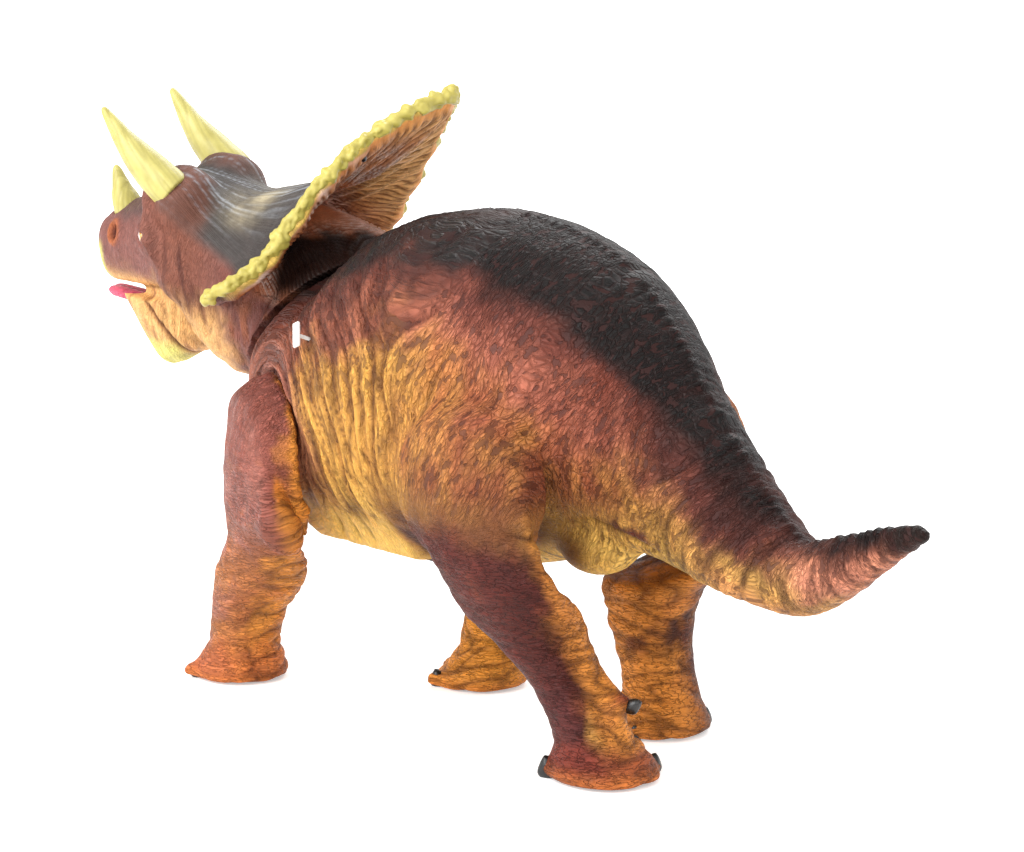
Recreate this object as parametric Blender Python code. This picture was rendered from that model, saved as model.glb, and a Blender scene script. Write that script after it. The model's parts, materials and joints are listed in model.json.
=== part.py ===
"""Toy horned dinosaur of soft vinyl: a hollow trunk and tail, a plug-in head with a pleated frill,
two front legs that turn in round sockets, glued hind legs and a sound unit in the belly.

Metres, +X towards the head, +Y to the figure's left, +Z up, the soles on z = 0.
"""

import math

import bmesh
import bpy
from mathutils import Matrix, Vector

# Trunk and tail
BODY_LENGTH = 0.2485
BACK_HEIGHT = 0.154
TRUNK_HALF_WIDTH = 0.052
TRUNK_RISE = 0.057
TAIL_SWEEP = 0.006
WALL = 0.003
LEG_WALL = 0.0055
LEG_ROOT_WALL = 0.0098
TAIL_SOLID_RADIUS = 0.008

# Neck joint
NECK_RADIUS = 0.032
NECK_HEIGHT = 0.111
NECK_PITCH = math.radians(45)

# Flanged plugs that hold the head and the legs
PLUG_RADIUS = 0.0092
PLUG_LIP = 0.0022
PLUG_LIP_THICKNESS = 0.0025
PLUG_SEAT_DEPTH = 0.012
NECK_PLUG_RADIUS = 0.0145
CLEARANCE = 0.0003
OVERRUN = 0.004

# Front legs
SHOULDER_SETBACK = 0.020
SHOULDER_HEIGHT = 0.076
SHOULDER_OUT = 0.038
SHOULDER_RADIUS = 0.026
SHOULDER_YAW = math.radians(20)
FRONT_LEG_RADIUS = 0.0165
FRONT_LEFT_STRIDE = 0.033
FRONT_RIGHT_STRIDE = -0.024

# Hind legs
HIP_SETBACK = 0.112
HIP_HEIGHT = 0.080
HIP_OUT = 0.036
HIP_RADIUS = 0.027
HIP_YAW = math.radians(-12)
HIND_LEG_RADIUS = 0.0175
HIND_LEFT_STRIDE = -0.038
HIND_RIGHT_STRIDE = -0.010

# Head
HEAD_YAW = math.radians(21)
HEAD_ROLL = math.radians(5)
HEAD_REACH = 0.0513
HEAD_LIFT = 0.0442
SKULL_LENGTH = 0.094
SKULL_HALF_WIDTH = 0.026
SKULL_RISE = 0.028
JAW_DROP = 0.0245
JAW_HALF_WIDTH = 0.017
JAW_LENGTH = 0.028
GAPE_LENGTH = 0.030
TONGUE_LENGTH = 0.0375
TONGUE_HALF_WIDTH = 0.0055
TONGUE_THICKNESS = 0.0042

# Frill
FRILL_HALF_WIDTH = 0.048
FRILL_LENGTH = 0.0935
FRILL_THICKNESS = 0.0046
FRILL_RIM_RADIUS = 0.0036
SCALLOP_COUNT = 17
SCALLOP_HEIGHT = 0.0022
PLEAT_DEPTH = 0.0009

# Horns and eyes
BROW_HORN_RADIUS = 0.0066
BROW_HORN_LENGTH = 0.032
BROW_HORN_SPREAD = 0.0176
NOSE_HORN_RADIUS = 0.0048
NOSE_HORN_LENGTH = 0.015
HORN_SEAT_DEPTH = 0.0035
EYE_RADIUS = 0.0036

# Swing-tag fastener
TAG_SETBACK = 0.0468
TAG_HEIGHT = 0.1156
TAG_BAR_LENGTH = 0.0078
TAG_BAR_WIDTH = 0.0027
TAG_BAR_THICKNESS = 0.0012
TAG_STEM_RADIUS = 0.0006

# Sound unit
UNIT_SETBACK = 0.052
UNIT_SEAT_HEIGHT = 0.0515
UNIT_LENGTH = 0.050
UNIT_WIDTH = 0.036
UNIT_CORNER = 0.004
COVER_THICKNESS = 0.003
CASE_LENGTH = 0.0414
CASE_WIDTH = 0.0274
CASE_HEIGHT = 0.018
CASE_WALL = 0.0016
CASE_CORNER = 0.003
CASE_FLANGE = 0.0015
SCREW_INSET = 0.0033
SCREW_RADIUS = 0.0009
SCREW_HEAD_RADIUS = 0.0017
SCREW_HEAD_THICKNESS = 0.0012
SCREW_LENGTH = 0.009
SCREW_NAMES = (
    "rear_right_unit_screw",
    "rear_left_unit_screw",
    "front_right_unit_screw",
    "front_left_unit_screw",
)
BOSS_WALL = 0.0012
BOSS_HEIGHT = 0.005
CELL_RADIUS = 0.0058
CELL_THICKNESS = 0.0054
CELL_NAMES = ("right_button_cell", "middle_button_cell", "left_button_cell")
CONTACT_THICKNESS = 0.0004
DOOR_LENGTH = 0.023
DOOR_WIDTH = 0.0146
DOOR_LEDGE = 0.0012
DOOR_THICKNESS = 0.0016
SPEAKER_RADIUS = 0.007
SPEAKER_RIM = 0.0012
SPEAKER_HEIGHT = 0.0066
MAGNET_RADIUS = 0.004
SLOT_COUNT = 5
SLOT_WIDTH = 0.0012
SLOT_LENGTH = 0.0095
BOARD_LENGTH = 0.0265
BOARD_WIDTH = 0.019
BOARD_THICKNESS = 0.0012
BOARD_HEIGHT = 0.0135
CHIP_RADIUS = 0.0035
CHIP_THICKNESS = 0.0012
POST_RADIUS = 0.0012
LEAD_RADIUS = 0.0004
BUTTON_RADIUS = 0.0031
BUTTON_PROUD = 0.0008
BUTTON_COLLAR = 0.0012
BUTTON_COLLAR_THICKNESS = 0.001
BUTTON_TRAVEL = 0.001
BUTTON_STEM_RADIUS = 0.0015
SWITCH_WIDTH = 0.0045
SWITCH_HEIGHT = 0.0025
PLUNGER_RADIUS = 0.001
PLUNGER_LENGTH = 0.0008

# Squareness of the ovals, where 2 is an ellipse
TRUNK_ROUNDNESS_SHARE = 2.12
TAIL_ROUNDNESS_SHARE = 1.86
LEG_ROUNDNESS_SHARE = 2.15
SKULL_ROUNDNESS_SHARE = 2.1

# Smoothness of the skins
BODY_SIDES = 24
LEG_SIDES = 16
HEAD_SIDES = 20
CAVITY_SIDES = 12
ROUND_SIDES = 20
SMALL_ROUND_SIDES = 8
TIDY_DISTANCE = 0.000001
TIDY_ANGLE = math.radians(0.9)

# Each row of the body, from the neck to the tail's tip: distance behind the neck, height, lean in right
# angles, half width, rise above and drop below its centre, and sideways sweep
BODY_SHARES = (
    (0.020, 0.690, 0.42, 0.680, 0.590, 0.690, 0.0),
    (0.052, 0.656, 0.32, 0.770, 0.640, 0.830, 0.0),
    (0.090, 0.636, 0.20, 0.860, 0.720, 0.895, 0.0),
    (0.140, 0.630, 0.09, 0.942, 0.825, 0.868, 0.0),
    (0.220, 0.630, 0.00, 1.000, 0.940, 0.868, 0.0),
    (0.320, 0.630, 0.00, 0.990, 0.990, 0.860, 0.0),
    (0.420, 0.623, 0.02, 0.850, 0.960, 0.790, 0.0),
    (0.500, 0.617, 0.09, 0.690, 0.860, 0.700, 0.0),
    (0.552, 0.597, 0.18, 0.560, 0.710, 0.580, 0.0),
    (0.608, 0.558, 0.27, 0.450, 0.520, 0.474, 0.0),
    (0.664, 0.510, 0.31, 0.385, 0.412, 0.377, 0.05),
    (0.720, 0.464, 0.30, 0.350, 0.315, 0.307, 0.10),
    (0.774, 0.425, 0.24, 0.288, 0.235, 0.235, 0.20),
    (0.820, 0.406, 0.04, 0.235, 0.190, 0.190, 0.35),
    (0.860, 0.430, -0.20, 0.190, 0.172, 0.160, 0.55),
    (0.900, 0.460, -0.28, 0.145, 0.145, 0.114, 0.75),
    (0.940, 0.495, -0.26, 0.108, 0.110, 0.079, 0.90),
    (0.975, 0.522, -0.15, 0.075, 0.072, 0.053, 0.97),
    (0.992, 0.528, -0.05, 0.035, 0.035, 0.030, 1.00),
)

# Where along the body the back's oval narrows to the tail's
RUMP_SHARES = (0.24, 0.46)

# The neck's height as drawn, and how far along the body its rows follow the neck up or down
NECK_LEVEL_SHARE = 0.7208
NECK_FOLLOW_SHARE = 0.15

# Each row of a front leg's root, from its socket's face to the arm: outward, forward and upward
# offset, lean in right angles, half size along the body and half size across the ring
SHOULDER_ROOT_SHARES = (
    (0.00, 0.00, 0.00, 0.00, 1.00, 1.00),
    (0.15, 0.00, 0.00, 0.00, 1.00, 0.99),
    (0.30, -0.03, -0.08, 0.15, 0.93, 0.86),
    (0.32, -0.14, -0.54, 0.40, 1.02, 0.50),
    (0.24, -0.09, -0.86, 0.66, 0.98, 0.44),
    (0.12, 0.15, -1.08, 0.86, 0.66, 0.45),
)

SHOULDER_RIGHT_ROOT_SHARES = (
    (0.00, 0.00, 0.00, 0.00, 1.00, 1.00),
    (0.15, 0.00, 0.00, 0.00, 1.00, 0.99),
    (0.30, -0.02, -0.08, 0.15, 0.94, 0.87),
    (0.31, -0.16, -0.52, 0.38, 0.80, 0.52),
    (0.22, -0.38, -0.84, 0.64, 0.62, 0.42),
    (0.06, -0.60, -1.08, 0.86, 0.52, 0.43),
)

HIP_ROOT_SHARES = (
    (0.00, 0.00, 0.00, 0.00, 1.00, 1.00),
    (0.19, 0.00, 0.00, 0.00, 1.00, 0.99),
    (0.37, -0.06, -0.08, 0.15, 0.93, 0.88),
    (0.40, -0.34, -0.50, 0.38, 0.84, 0.57),
    (0.33, -0.46, -0.80, 0.66, 0.81, 0.52),
    (0.18, -0.56, -1.03, 0.86, 0.77, 0.58),
)

# Each row of a lower leg: height, share of the stride, inward shift as a share of the joint's
# distance out, half length and half width as shares of the leg's radius
FRONT_LEG_SHARES = (
    (0.520, 0.33, 0.03, 1.00, 0.80),
    (0.420, 0.52, 0.10, 0.93, 0.79),
    (0.310, 0.74, 0.15, 0.75, 0.71),
    (0.160, 0.89, 0.19, 0.69, 0.67),
    (0.075, 0.96, 0.21, 0.86, 0.84),
    (0.022, 1.00, 0.21, 0.99, 0.94),
    (0.000, 1.00, 0.21, 0.94, 0.90),
)

FRONT_RIGHT_LEG_SHARES = (
    (0.500, 0.82, 0.12, 0.74, 0.72),
    (0.410, 0.92, 0.20, 0.70, 0.68),
    (0.310, 0.99, 0.27, 0.66, 0.64),
    (0.160, 1.04, 0.35, 0.63, 0.62),
    (0.075, 1.03, 0.42, 0.80, 0.78),
    (0.022, 1.00, 0.46, 0.95, 0.92),
    (0.000, 1.00, 0.46, 0.90, 0.88),
)

HIND_LEG_SHARES = (
    (0.560, 0.36, 0.13, 1.12, 0.90),
    (0.450, 0.52, 0.22, 0.84, 0.75),
    (0.330, 0.74, 0.28, 0.68, 0.65),
    (0.200, 0.90, 0.32, 0.65, 0.63),
    (0.110, 0.97, 0.38, 0.76, 0.73),
    (0.045, 0.96, 0.42, 0.98, 0.90),
    (0.014, 0.95, 0.42, 1.03, 0.94),
    (0.000, 0.95, 0.42, 0.99, 0.90),
)

HIND_RIGHT_LEG_SHARES = (
    (0.560, 0.36, 0.25, 1.04, 0.84),
    (0.450, 0.34, 0.27, 0.84, 0.73),
    (0.330, 0.45, 0.27, 0.72, 0.66),
    (0.200, 0.70, 0.26, 0.66, 0.63),
    (0.110, 0.90, 0.27, 0.73, 0.69),
    (0.045, 0.90, 0.29, 0.92, 0.86),
    (0.014, 0.80, 0.29, 0.98, 0.92),
    (0.000, 0.80, 0.29, 0.94, 0.88),
)

# Toe claws of a foot: turn from straight ahead in right angles, and size
FRONT_CLAW_SHARES = ((-0.72, 0.85), (0.0, 1.0), (0.72, 0.85))
HIND_CLAW_SHARES = ((-1.22, 0.8), (-0.62, 0.9), (-0.05, 1.0), (0.55, 0.8))
CLAW_LENGTH = 0.0052
CLAW_WIDTH = 0.0038
CLAW_HEIGHT = 0.0046

# Each row of the skull, from the neck to the snout, measured from between the brow horns in
# shares of its length and rise: forward, up, lean, half width, rise, drop, and the share of the
# head's turn that the row has taken
SKULL_SHARES = (
    (-0.480, -1.42, 0.42, 1.14, 1.06, 1.16, 0.35),
    (-0.350, -1.22, 0.26, 1.05, 0.96, 1.22, 0.75),
    (-0.200, -1.09, 0.09, 0.98, 0.93, 1.20, 1.0),
    (-0.070, -0.95, 0.00, 0.98, 0.93, 1.12, 1.0),
    (0.020, -0.85, -0.02, 0.86, 0.88, 0.78, 1.0),
    (0.115, -0.82, -0.05, 0.70, 0.70, 0.74, 1.0),
    (0.215, -0.84, -0.07, 0.54, 0.52, 0.61, 1.0),
    (0.300, -0.92, -0.08, 0.42, 0.44, 0.46, 1.0),
    (0.365, -0.96, -0.08, 0.31, 0.40, 0.40, 1.0),
    (0.408, -0.97, -0.06, 0.17, 0.28, 0.32, 1.0),
)

# Each row of the lower jaw, from its seat down to the beak's tip: share of the drop, front and
# back edge in shares of the jaw's length, and half width
JAW_SHARES = (
    (0.00, 1.07, -0.36, 1.00),
    (0.25, 0.95, -0.40, 0.92),
    (0.55, 0.84, -0.36, 0.76),
    (0.78, 0.74, 0.00, 0.52),
    (0.93, 0.67, 0.30, 0.30),
    (1.00, 0.60, 0.42, 0.14),
)

# Hollows of the mouth: place ahead and above, length, width, height and lean
MOUTH_SHARES = (
    (0.40, -1.54, 0.47, 0.68, 0.34, 0.2),
    (0.70, -1.45, 0.72, 0.50, 0.21, 0.0),
)

# Each row of the tongue: place along it, rise, width and thickness
TONGUE_SHARES = (
    (0.21, 0.00, 0.80, 0.9),
    (0.33, 0.01, 1.00, 1.8),
    (0.52, 0.06, 1.00, 1.6),
    (0.74, 0.12, 0.95, 1.0),
    (0.92, 0.15, 0.85, 1.0),
    (1.00, 0.16, 0.45, 0.5),
)

# Each row of a horn: place along it and radius
HORN_SHARES = (
    (0.0, 1.0),
    (0.2, 0.88),
    (0.45, 0.66),
    (0.7, 0.42),
    (0.9, 0.2),
    (1.0, 0.08),
)

# Each row of the frill's rim on one side, from the lower corner to the top: half width, distance
# behind the brow horns, and height
FRILL_RIM_SHARES = (
    (0.90, 0.330, -0.350),
    (0.98, 0.385, -0.308),
    (0.81, 0.495, -0.243),
    (0.74, 0.595, -0.123),
    (0.68, 0.700, 0.022),
    (0.56, 0.785, 0.128),
    (0.42, 0.858, 0.200),
    (0.25, 0.925, 0.250),
    (0.00, 0.995, 0.285),
)

# The frill's root on the skull, in the same order and shares
FRILL_ROOT_SHARES = (
    (0.36, 0.10, -0.40),
    (0.36, 0.12, -0.34),
    (0.36, 0.14, -0.28),
    (0.35, 0.16, -0.22),
    (0.33, 0.18, -0.17),
    (0.28, 0.20, -0.13),
    (0.20, 0.21, -0.10),
    (0.10, 0.22, -0.09),
    (0.00, 0.22, -0.09),
)
TONGUE_ROOT_SHARE = -1.66
FRILL_SAG_SHARE = 0.10
FRILL_ROWS_SHARES = (0.0, 0.28, 0.54, 0.78, 0.95)
SEAT_LIMIT_SHARE = 0.6

COLOURS = {
    "charcoal": (0.05, 0.045, 0.045, 1.0),
    "brick": (0.36, 0.13, 0.08, 1.0),
    "orange": (0.68, 0.28, 0.06, 1.0),
    "horn": (0.80, 0.72, 0.36, 1.0),
    "pink": (0.66, 0.22, 0.26, 1.0),
    "amber": (0.80, 0.42, 0.04, 1.0),
    "black": (0.015, 0.015, 0.016, 1.0),
    "white": (0.85, 0.85, 0.83, 1.0),
    "steel": (0.56, 0.56, 0.57, 1.0),
    "green": (0.03, 0.17, 0.07, 1.0),
    "copper": (0.60, 0.26, 0.12, 1.0),
}


def clear_scene():
    """Remove the objects that the scene starts with."""
    for item in list(bpy.data.objects):
        bpy.data.objects.remove(item, do_unlink=True)


def material(name, colour, roughness, metallic=0.0):
    """Return a Principled material of a plain colour, made once for each name."""
    found = bpy.data.materials.get(name)
    if found:
        return found
    made = bpy.data.materials.new(name)
    made.use_nodes = True
    shader = made.node_tree.nodes["Principled BSDF"]
    shader.inputs["Base Color"].default_value = COLOURS[colour]
    shader.inputs["Roughness"].default_value = roughness
    shader.inputs["Metallic"].default_value = metallic
    return made


def add_object(name, shape, finish, smooth=True):
    """Turn a bmesh into a named object of one material."""
    mesh = bpy.data.meshes.new(name)
    shape.to_mesh(mesh)
    shape.free()
    if finish:
        mesh.materials.append(finish)
    if smooth:
        mesh.shade_smooth()
        mesh.set_sharp_from_angle(angle=math.radians(50))
    item = bpy.data.objects.new(name, mesh)
    bpy.context.scene.collection.objects.link(item)
    return item


def bake(item):
    """Replace an object's mesh by its evaluated one and drop its modifiers."""
    bpy.context.view_layer.update()
    graph = bpy.context.evaluated_depsgraph_get()
    mesh = bpy.data.meshes.new_from_object(item.evaluated_get(graph))
    item.modifiers.clear()
    item.data = mesh
    return item


def tidy(item):
    """Merge the flat facets that a cut leaves and split what is left into triangles."""
    shape = bmesh.new()
    shape.from_mesh(item.data)
    bmesh.ops.remove_doubles(shape, verts=shape.verts[:], dist=TIDY_DISTANCE)
    bmesh.ops.dissolve_degenerate(shape, edges=shape.edges[:], dist=TIDY_DISTANCE)
    bmesh.ops.triangulate(shape, faces=shape.faces[:])
    shape.to_mesh(item.data)
    shape.free()
    return item


def combine(item, tools, operation, folded):
    """Cut tools from an object, or join them to it, and remove them."""
    for tool in tools:
        change = item.modifiers.new(operation.lower(), "BOOLEAN")
        change.operation = operation
        change.solver = "EXACT"
        change.use_self = folded
        change.object = tool
    bake(item)
    for tool in tools:
        bpy.data.objects.remove(tool, do_unlink=True)
    return tidy(item)


def islands(shape):
    """Return the connected groups of vertices of a bmesh."""
    groups = []
    waiting = set(shape.verts)
    while waiting:
        stack = [waiting.pop()]
        group = []
        while stack:
            vertex = stack.pop()
            group.append(vertex)
            for edge in vertex.link_edges:
                other = edge.other_vert(vertex)
                if other in waiting:
                    waiting.remove(other)
                    stack.append(other)
        groups.append(group)
    return groups


def finish_shape(item):
    """Drop a cut's crumbs, merge the facets of one plane and split what is left into triangles."""
    shape = bmesh.new()
    shape.from_mesh(item.data)
    groups = sorted(islands(shape), key=len)
    crumbs = [vertex for group in groups[:-1] for vertex in group]
    bmesh.ops.delete(shape, geom=crumbs, context="VERTS")
    bmesh.ops.dissolve_limit(
        shape, angle_limit=TIDY_ANGLE, verts=shape.verts[:], edges=shape.edges[:]
    )
    bmesh.ops.triangulate(shape, faces=shape.faces[:])
    shape.to_mesh(item.data)
    shape.free()
    return item


def cut(item, *tools, folded=False):
    """Subtract each tool from an object; a folded one is a tool that may cross itself."""
    return combine(item, tools, "DIFFERENCE", folded)


def join(item, *tools, folded=False):
    """Unite each tool with an object; a folded one is a tool that may cross itself."""
    return combine(item, tools, "UNION", folded)


def slope(before, here, after):
    """Return the tangent of a curve through three values that never overshoots them."""
    back = here - before
    ahead = after - here
    if back * ahead <= 0:
        return 0.0
    return 2 * back * ahead / (back + ahead)


def smooth_rows(rows, steps):
    """Return the rows with curved ones between them, steps to each gap."""
    last = len(rows) - 1
    slopes = []
    for index, row in enumerate(rows):
        before = rows[max(index - 1, 0)]
        after = rows[min(index + 1, last)]
        if index in (0, last):
            slopes.append([(b - a) for a, b in zip(before, after)])
        else:
            slopes.append([slope(a, b, c) for a, b, c in zip(before, row, after)])
    result = []
    for index in range(last):
        for step in range(steps):
            t = step / steps
            weights = (
                2 * t**3 - 3 * t**2 + 1,
                t**3 - 2 * t**2 + t,
                3 * t**2 - 2 * t**3,
                t**3 - t**2,
            )
            parts = zip(rows[index], slopes[index], rows[index + 1], slopes[index + 1])
            result.append(tuple(sum(w * v for w, v in zip(weights, part)) for part in parts))
    result.append(tuple(rows[last]))
    return result


def ring(centre, side, up, half_width, rise, drop, count, roundness=2.0):
    """Return the points of a closed oval whose upper and lower halves may differ."""
    points = []
    for index in range(count):
        angle = 2 * math.pi * (index + 0.5) / count
        x = math.cos(angle)
        y = math.sin(angle)
        across = math.copysign(abs(x) ** (2 / roundness), x) * half_width
        height = math.copysign(abs(y) ** (2 / roundness), y) * (rise if y > 0 else drop)
        points.append(centre + side * across + up * height)
    return points


def loft(rings):
    """Return a closed bmesh through rings of as many points each, with flat ends."""
    shape = bmesh.new()
    loops = [[shape.verts.new(point) for point in points] for points in rings]
    count = len(loops[0])
    for lower, upper in zip(loops, loops[1:]):
        for index in range(count):
            following = (index + 1) % count
            shape.faces.new((lower[index], lower[following], upper[following], upper[index]))
    shape.faces.new(loops[0])
    shape.faces.new(loops[-1])
    bmesh.ops.triangulate(shape, faces=shape.faces[:])
    bmesh.ops.recalc_face_normals(shape, faces=shape.faces[:])
    return shape


def cylinder(name, base, axis, radius, length, sides=ROUND_SIDES, finish=None):
    """Return a round bar that starts at base and runs along axis."""
    axis = axis.normalized()
    side = axis.orthogonal().normalized()
    up = axis.cross(side)
    rings = [
        ring(base + axis * along, side, up, radius, radius, radius, sides)
        for along in (0.0, length)
    ]
    return add_object(name, loft(rings), finish)


def rounded_block(name, centre, length, width, bottom, top, corner, finish=None):
    """Return an upright block with round corners between two heights."""
    corner = max(min(corner, SEAT_LIMIT_SHARE * min(length, width) / 2), 0.0)
    outline = []
    steps = 4 if corner > 0 else 1
    for quarter in range(4):
        turn = math.pi / 2 * quarter
        corner_x = (length / 2 - corner) * (1 if quarter in (0, 3) else -1)
        corner_y = (width / 2 - corner) * (1 if quarter in (0, 1) else -1)
        for step in range(steps):
            angle = turn + (math.pi / 2 * step / max(steps - 1, 1) if corner > 0 else 0.0)
            across = corner_x + corner * math.cos(angle)
            along = corner_y + corner * math.sin(angle)
            outline.append((centre.x + across, centre.y + along))
    rings = [[Vector((x, y, height)) for x, y in outline] for height in (bottom, top)]
    return add_object(name, loft(rings), finish, smooth=False)


def place_origin(item, origin):
    """Put an object's origin at a point without moving its shape."""
    item.data.transform(Matrix.Translation(-origin))
    item.location = origin


class Socket:
    """A round, flat-floored socket in the trunk, which a flanged plug turns in."""

    def __init__(self, centre, axis, radius, plug_radius):
        self.centre = centre
        self.axis = axis.normalized()
        self.radius = radius
        self.plug_radius = plug_radius

    def bore(self):
        """Return the cutter for the hole in the socket's floor."""
        start = self.centre - self.axis * (WALL + OVERRUN)
        return cylinder("bore", start, self.axis, self.plug_radius, WALL + 2 * OVERRUN)

    def floor_block(self):
        """Return the stock that keeps the socket's floor and side a wall thick."""
        start = self.centre - self.axis * WALL
        return cylinder("stock", start, self.axis, self.radius + WALL, 2 * self.radius)

    def seat_block(self):
        """Return the boss that carries the socket's floor where the trunk curves away from it."""
        radius = self.plug_radius + PLUG_LIP + WALL
        start = self.centre - self.axis * PLUG_SEAT_DEPTH
        return cylinder("seat_block", start, self.axis, radius, PLUG_SEAT_DEPTH + OVERRUN)

    def turned(self, name, profile):
        """Return a solid turned about the socket's axis from depths and radii."""
        side = self.axis.orthogonal().normalized()
        up = self.axis.cross(side)
        rings = [
            ring(self.centre + self.axis * along, side, up, size, size, size, ROUND_SIDES)
            for along, size in profile
        ]
        return add_object(name, loft(rings), None)

    def cutter(self):
        """Return the mouth, the hole in the floor and the room for the plug's lip behind it."""
        mouth = self.radius / math.cos(math.pi / ROUND_SIDES)
        room = self.plug_radius + PLUG_LIP
        floor_back = -(WALL + CLEARANCE / 2)
        profile = (
            (floor_back - PLUG_LIP_THICKNESS - 2 * OVERRUN, room),
            (floor_back, room),
            (floor_back, self.plug_radius),
            (0.0, self.plug_radius),
            (0.0, mouth),
            (2 * self.radius, mouth),
        )
        return self.turned("socket", profile)

    def plug(self, depth):
        """Return the plug with its lip, which grips the back of the socket's floor."""
        neck_radius = self.plug_radius - CLEARANCE
        lip_front = -(WALL + CLEARANCE)
        lip_back = lip_front - PLUG_LIP_THICKNESS
        profile = (
            (depth, neck_radius),
            (lip_front, neck_radius),
            (lip_front, neck_radius + PLUG_LIP),
            (lip_back, neck_radius + PLUG_LIP / 2),
        )
        return self.turned("plug", profile)

    def plug_bore(self, depth):
        """Return the cutter that opens the plug into the hollow behind it."""
        size = self.plug_radius - CLEARANCE - WALL
        start = -(WALL + PLUG_LIP_THICKNESS + OVERRUN)
        base = self.centre + self.axis * start
        return cylinder("plug_bore", base, self.axis, size, depth - start, SMALL_ROUND_SIDES)


NECK_CENTRE = Vector((0.0, 0.0, NECK_HEIGHT))
NECK_AXIS = Vector((math.cos(NECK_PITCH), 0.0, math.sin(NECK_PITCH)))


def limb_socket(side, setback, out, height, yaw, radius):
    """Return the socket of one leg; side is 1 on the left and -1 on the right."""
    centre = Vector((-setback, side * out, height))
    axis = Vector((math.sin(yaw), side * math.cos(yaw), 0.0))
    return Socket(centre, axis, radius, PLUG_RADIUS)


def shoulder(side):
    """Return the socket of a front leg."""
    return limb_socket(
        side, SHOULDER_SETBACK, SHOULDER_OUT, SHOULDER_HEIGHT, SHOULDER_YAW, SHOULDER_RADIUS
    )


def hip(side):
    """Return the socket of a hind leg."""
    return limb_socket(side, HIP_SETBACK, HIP_OUT, HIP_HEIGHT, HIP_YAW, HIP_RADIUS)


def row_height(along, height):
    """Return the height of a body row's centre, which near the neck moves with the neck."""
    shift = NECK_HEIGHT - NECK_LEVEL_SHARE * BACK_HEIGHT
    return height * BACK_HEIGHT + shift * max(1 - along / NECK_FOLLOW_SHARE, 0.0)


def body_ring(row, inset, sides):
    """Return one oval of the trunk or tail, drawn in by a wall where one is asked for."""
    along, height, lean, width, rise, drop, sweep = row
    angle = lean * math.pi / 2
    tail = min(max((along - RUMP_SHARES[0]) / (RUMP_SHARES[1] - RUMP_SHARES[0]), 0.0), 1.0)
    centre = Vector((-along * BODY_LENGTH, -sweep * TAIL_SWEEP, row_height(along, height)))
    up = Vector((-math.sin(angle), 0.0, math.cos(angle)))
    return ring(
        centre,
        Vector((0.0, 1.0, 0.0)),
        up,
        width * TRUNK_HALF_WIDTH - inset,
        rise * TRUNK_RISE - inset,
        drop * TRUNK_RISE - inset,
        sides,
        lerp(TRUNK_ROUNDNESS_SHARE, TAIL_ROUNDNESS_SHARE, tail),
    )


def neck_ring(offset, radius, sides):
    """Return the round end of the trunk, or of the head, on the neck's seam."""
    up = Vector((-math.sin(NECK_PITCH), 0.0, math.cos(NECK_PITCH)))
    centre = NECK_CENTRE + NECK_AXIS * offset
    return ring(centre, Vector((0.0, 1.0, 0.0)), up, radius, radius, radius, sides)


def unit_centre():
    """Return the middle of the belly unit at the height of its seat."""
    return Vector((-UNIT_SETBACK, 0.0, UNIT_SEAT_HEIGHT))


def make_torso(finish):
    """Build the hollow trunk and tail with its sockets and the belly's opening."""
    rows = smooth_rows(BODY_SHARES, 2)
    rings = [neck_ring(0.0, NECK_RADIUS, BODY_SIDES)]
    rings += [body_ring(row, 0.0, BODY_SIDES) for row in rows]
    torso = add_object("torso_shell", loft(rings), finish)
    neck = Socket(NECK_CENTRE, NECK_AXIS, NECK_RADIUS, NECK_PLUG_RADIUS)
    sockets = [shoulder(1), shoulder(-1), hip(1), hip(-1)]
    join(torso, *[socket.seat_block() for socket in sockets])
    hollow_rows = [row for row in BODY_SHARES if row[4] * TRUNK_RISE > TAIL_SOLID_RADIUS + WALL]
    inner = [neck_ring(-WALL, NECK_RADIUS - WALL, CAVITY_SIDES + 6)]
    inner += [body_ring(row, WALL, CAVITY_SIDES + 6) for row in hollow_rows]
    cavity = add_object("cavity", loft(inner), None)
    seat = unit_centre()
    land = rounded_block(
        "land",
        seat,
        UNIT_LENGTH + 2 * WALL,
        UNIT_WIDTH + 2 * WALL,
        0.0,
        seat.z + WALL,
        UNIT_CORNER + WALL,
    )
    cut(cavity, land, *[socket.floor_block() for socket in sockets])
    recess = rounded_block(
        "recess",
        seat,
        UNIT_LENGTH + 2 * CLEARANCE,
        UNIT_WIDTH + 2 * CLEARANCE,
        0.0,
        seat.z,
        UNIT_CORNER + CLEARANCE,
    )
    opening = rounded_block(
        "opening",
        seat,
        CASE_LENGTH + 2 * CLEARANCE,
        CASE_WIDTH + 2 * CLEARANCE,
        0.0,
        seat.z + WALL + OVERRUN,
        CASE_CORNER + CLEARANCE,
    )
    screw_holes = [
        cylinder(
            "screw_hole",
            Vector((x, y, seat.z - OVERRUN)),
            Vector((0.0, 0.0, 1.0)),
            SCREW_RADIUS + CLEARANCE,
            WALL + 2 * OVERRUN,
            SMALL_ROUND_SIDES,
        )
        for x, y in screw_places()
    ]
    tools = [cavity, neck.bore(), recess, opening, *screw_holes, tag_hole()]
    for socket in sockets:
        tools.append(socket.cutter())
    return finish_shape(cut(torso, *tools))


def lerp(a, b, share):
    """Return the value a share of the way from a to b."""
    return a + (b - a) * share


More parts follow.
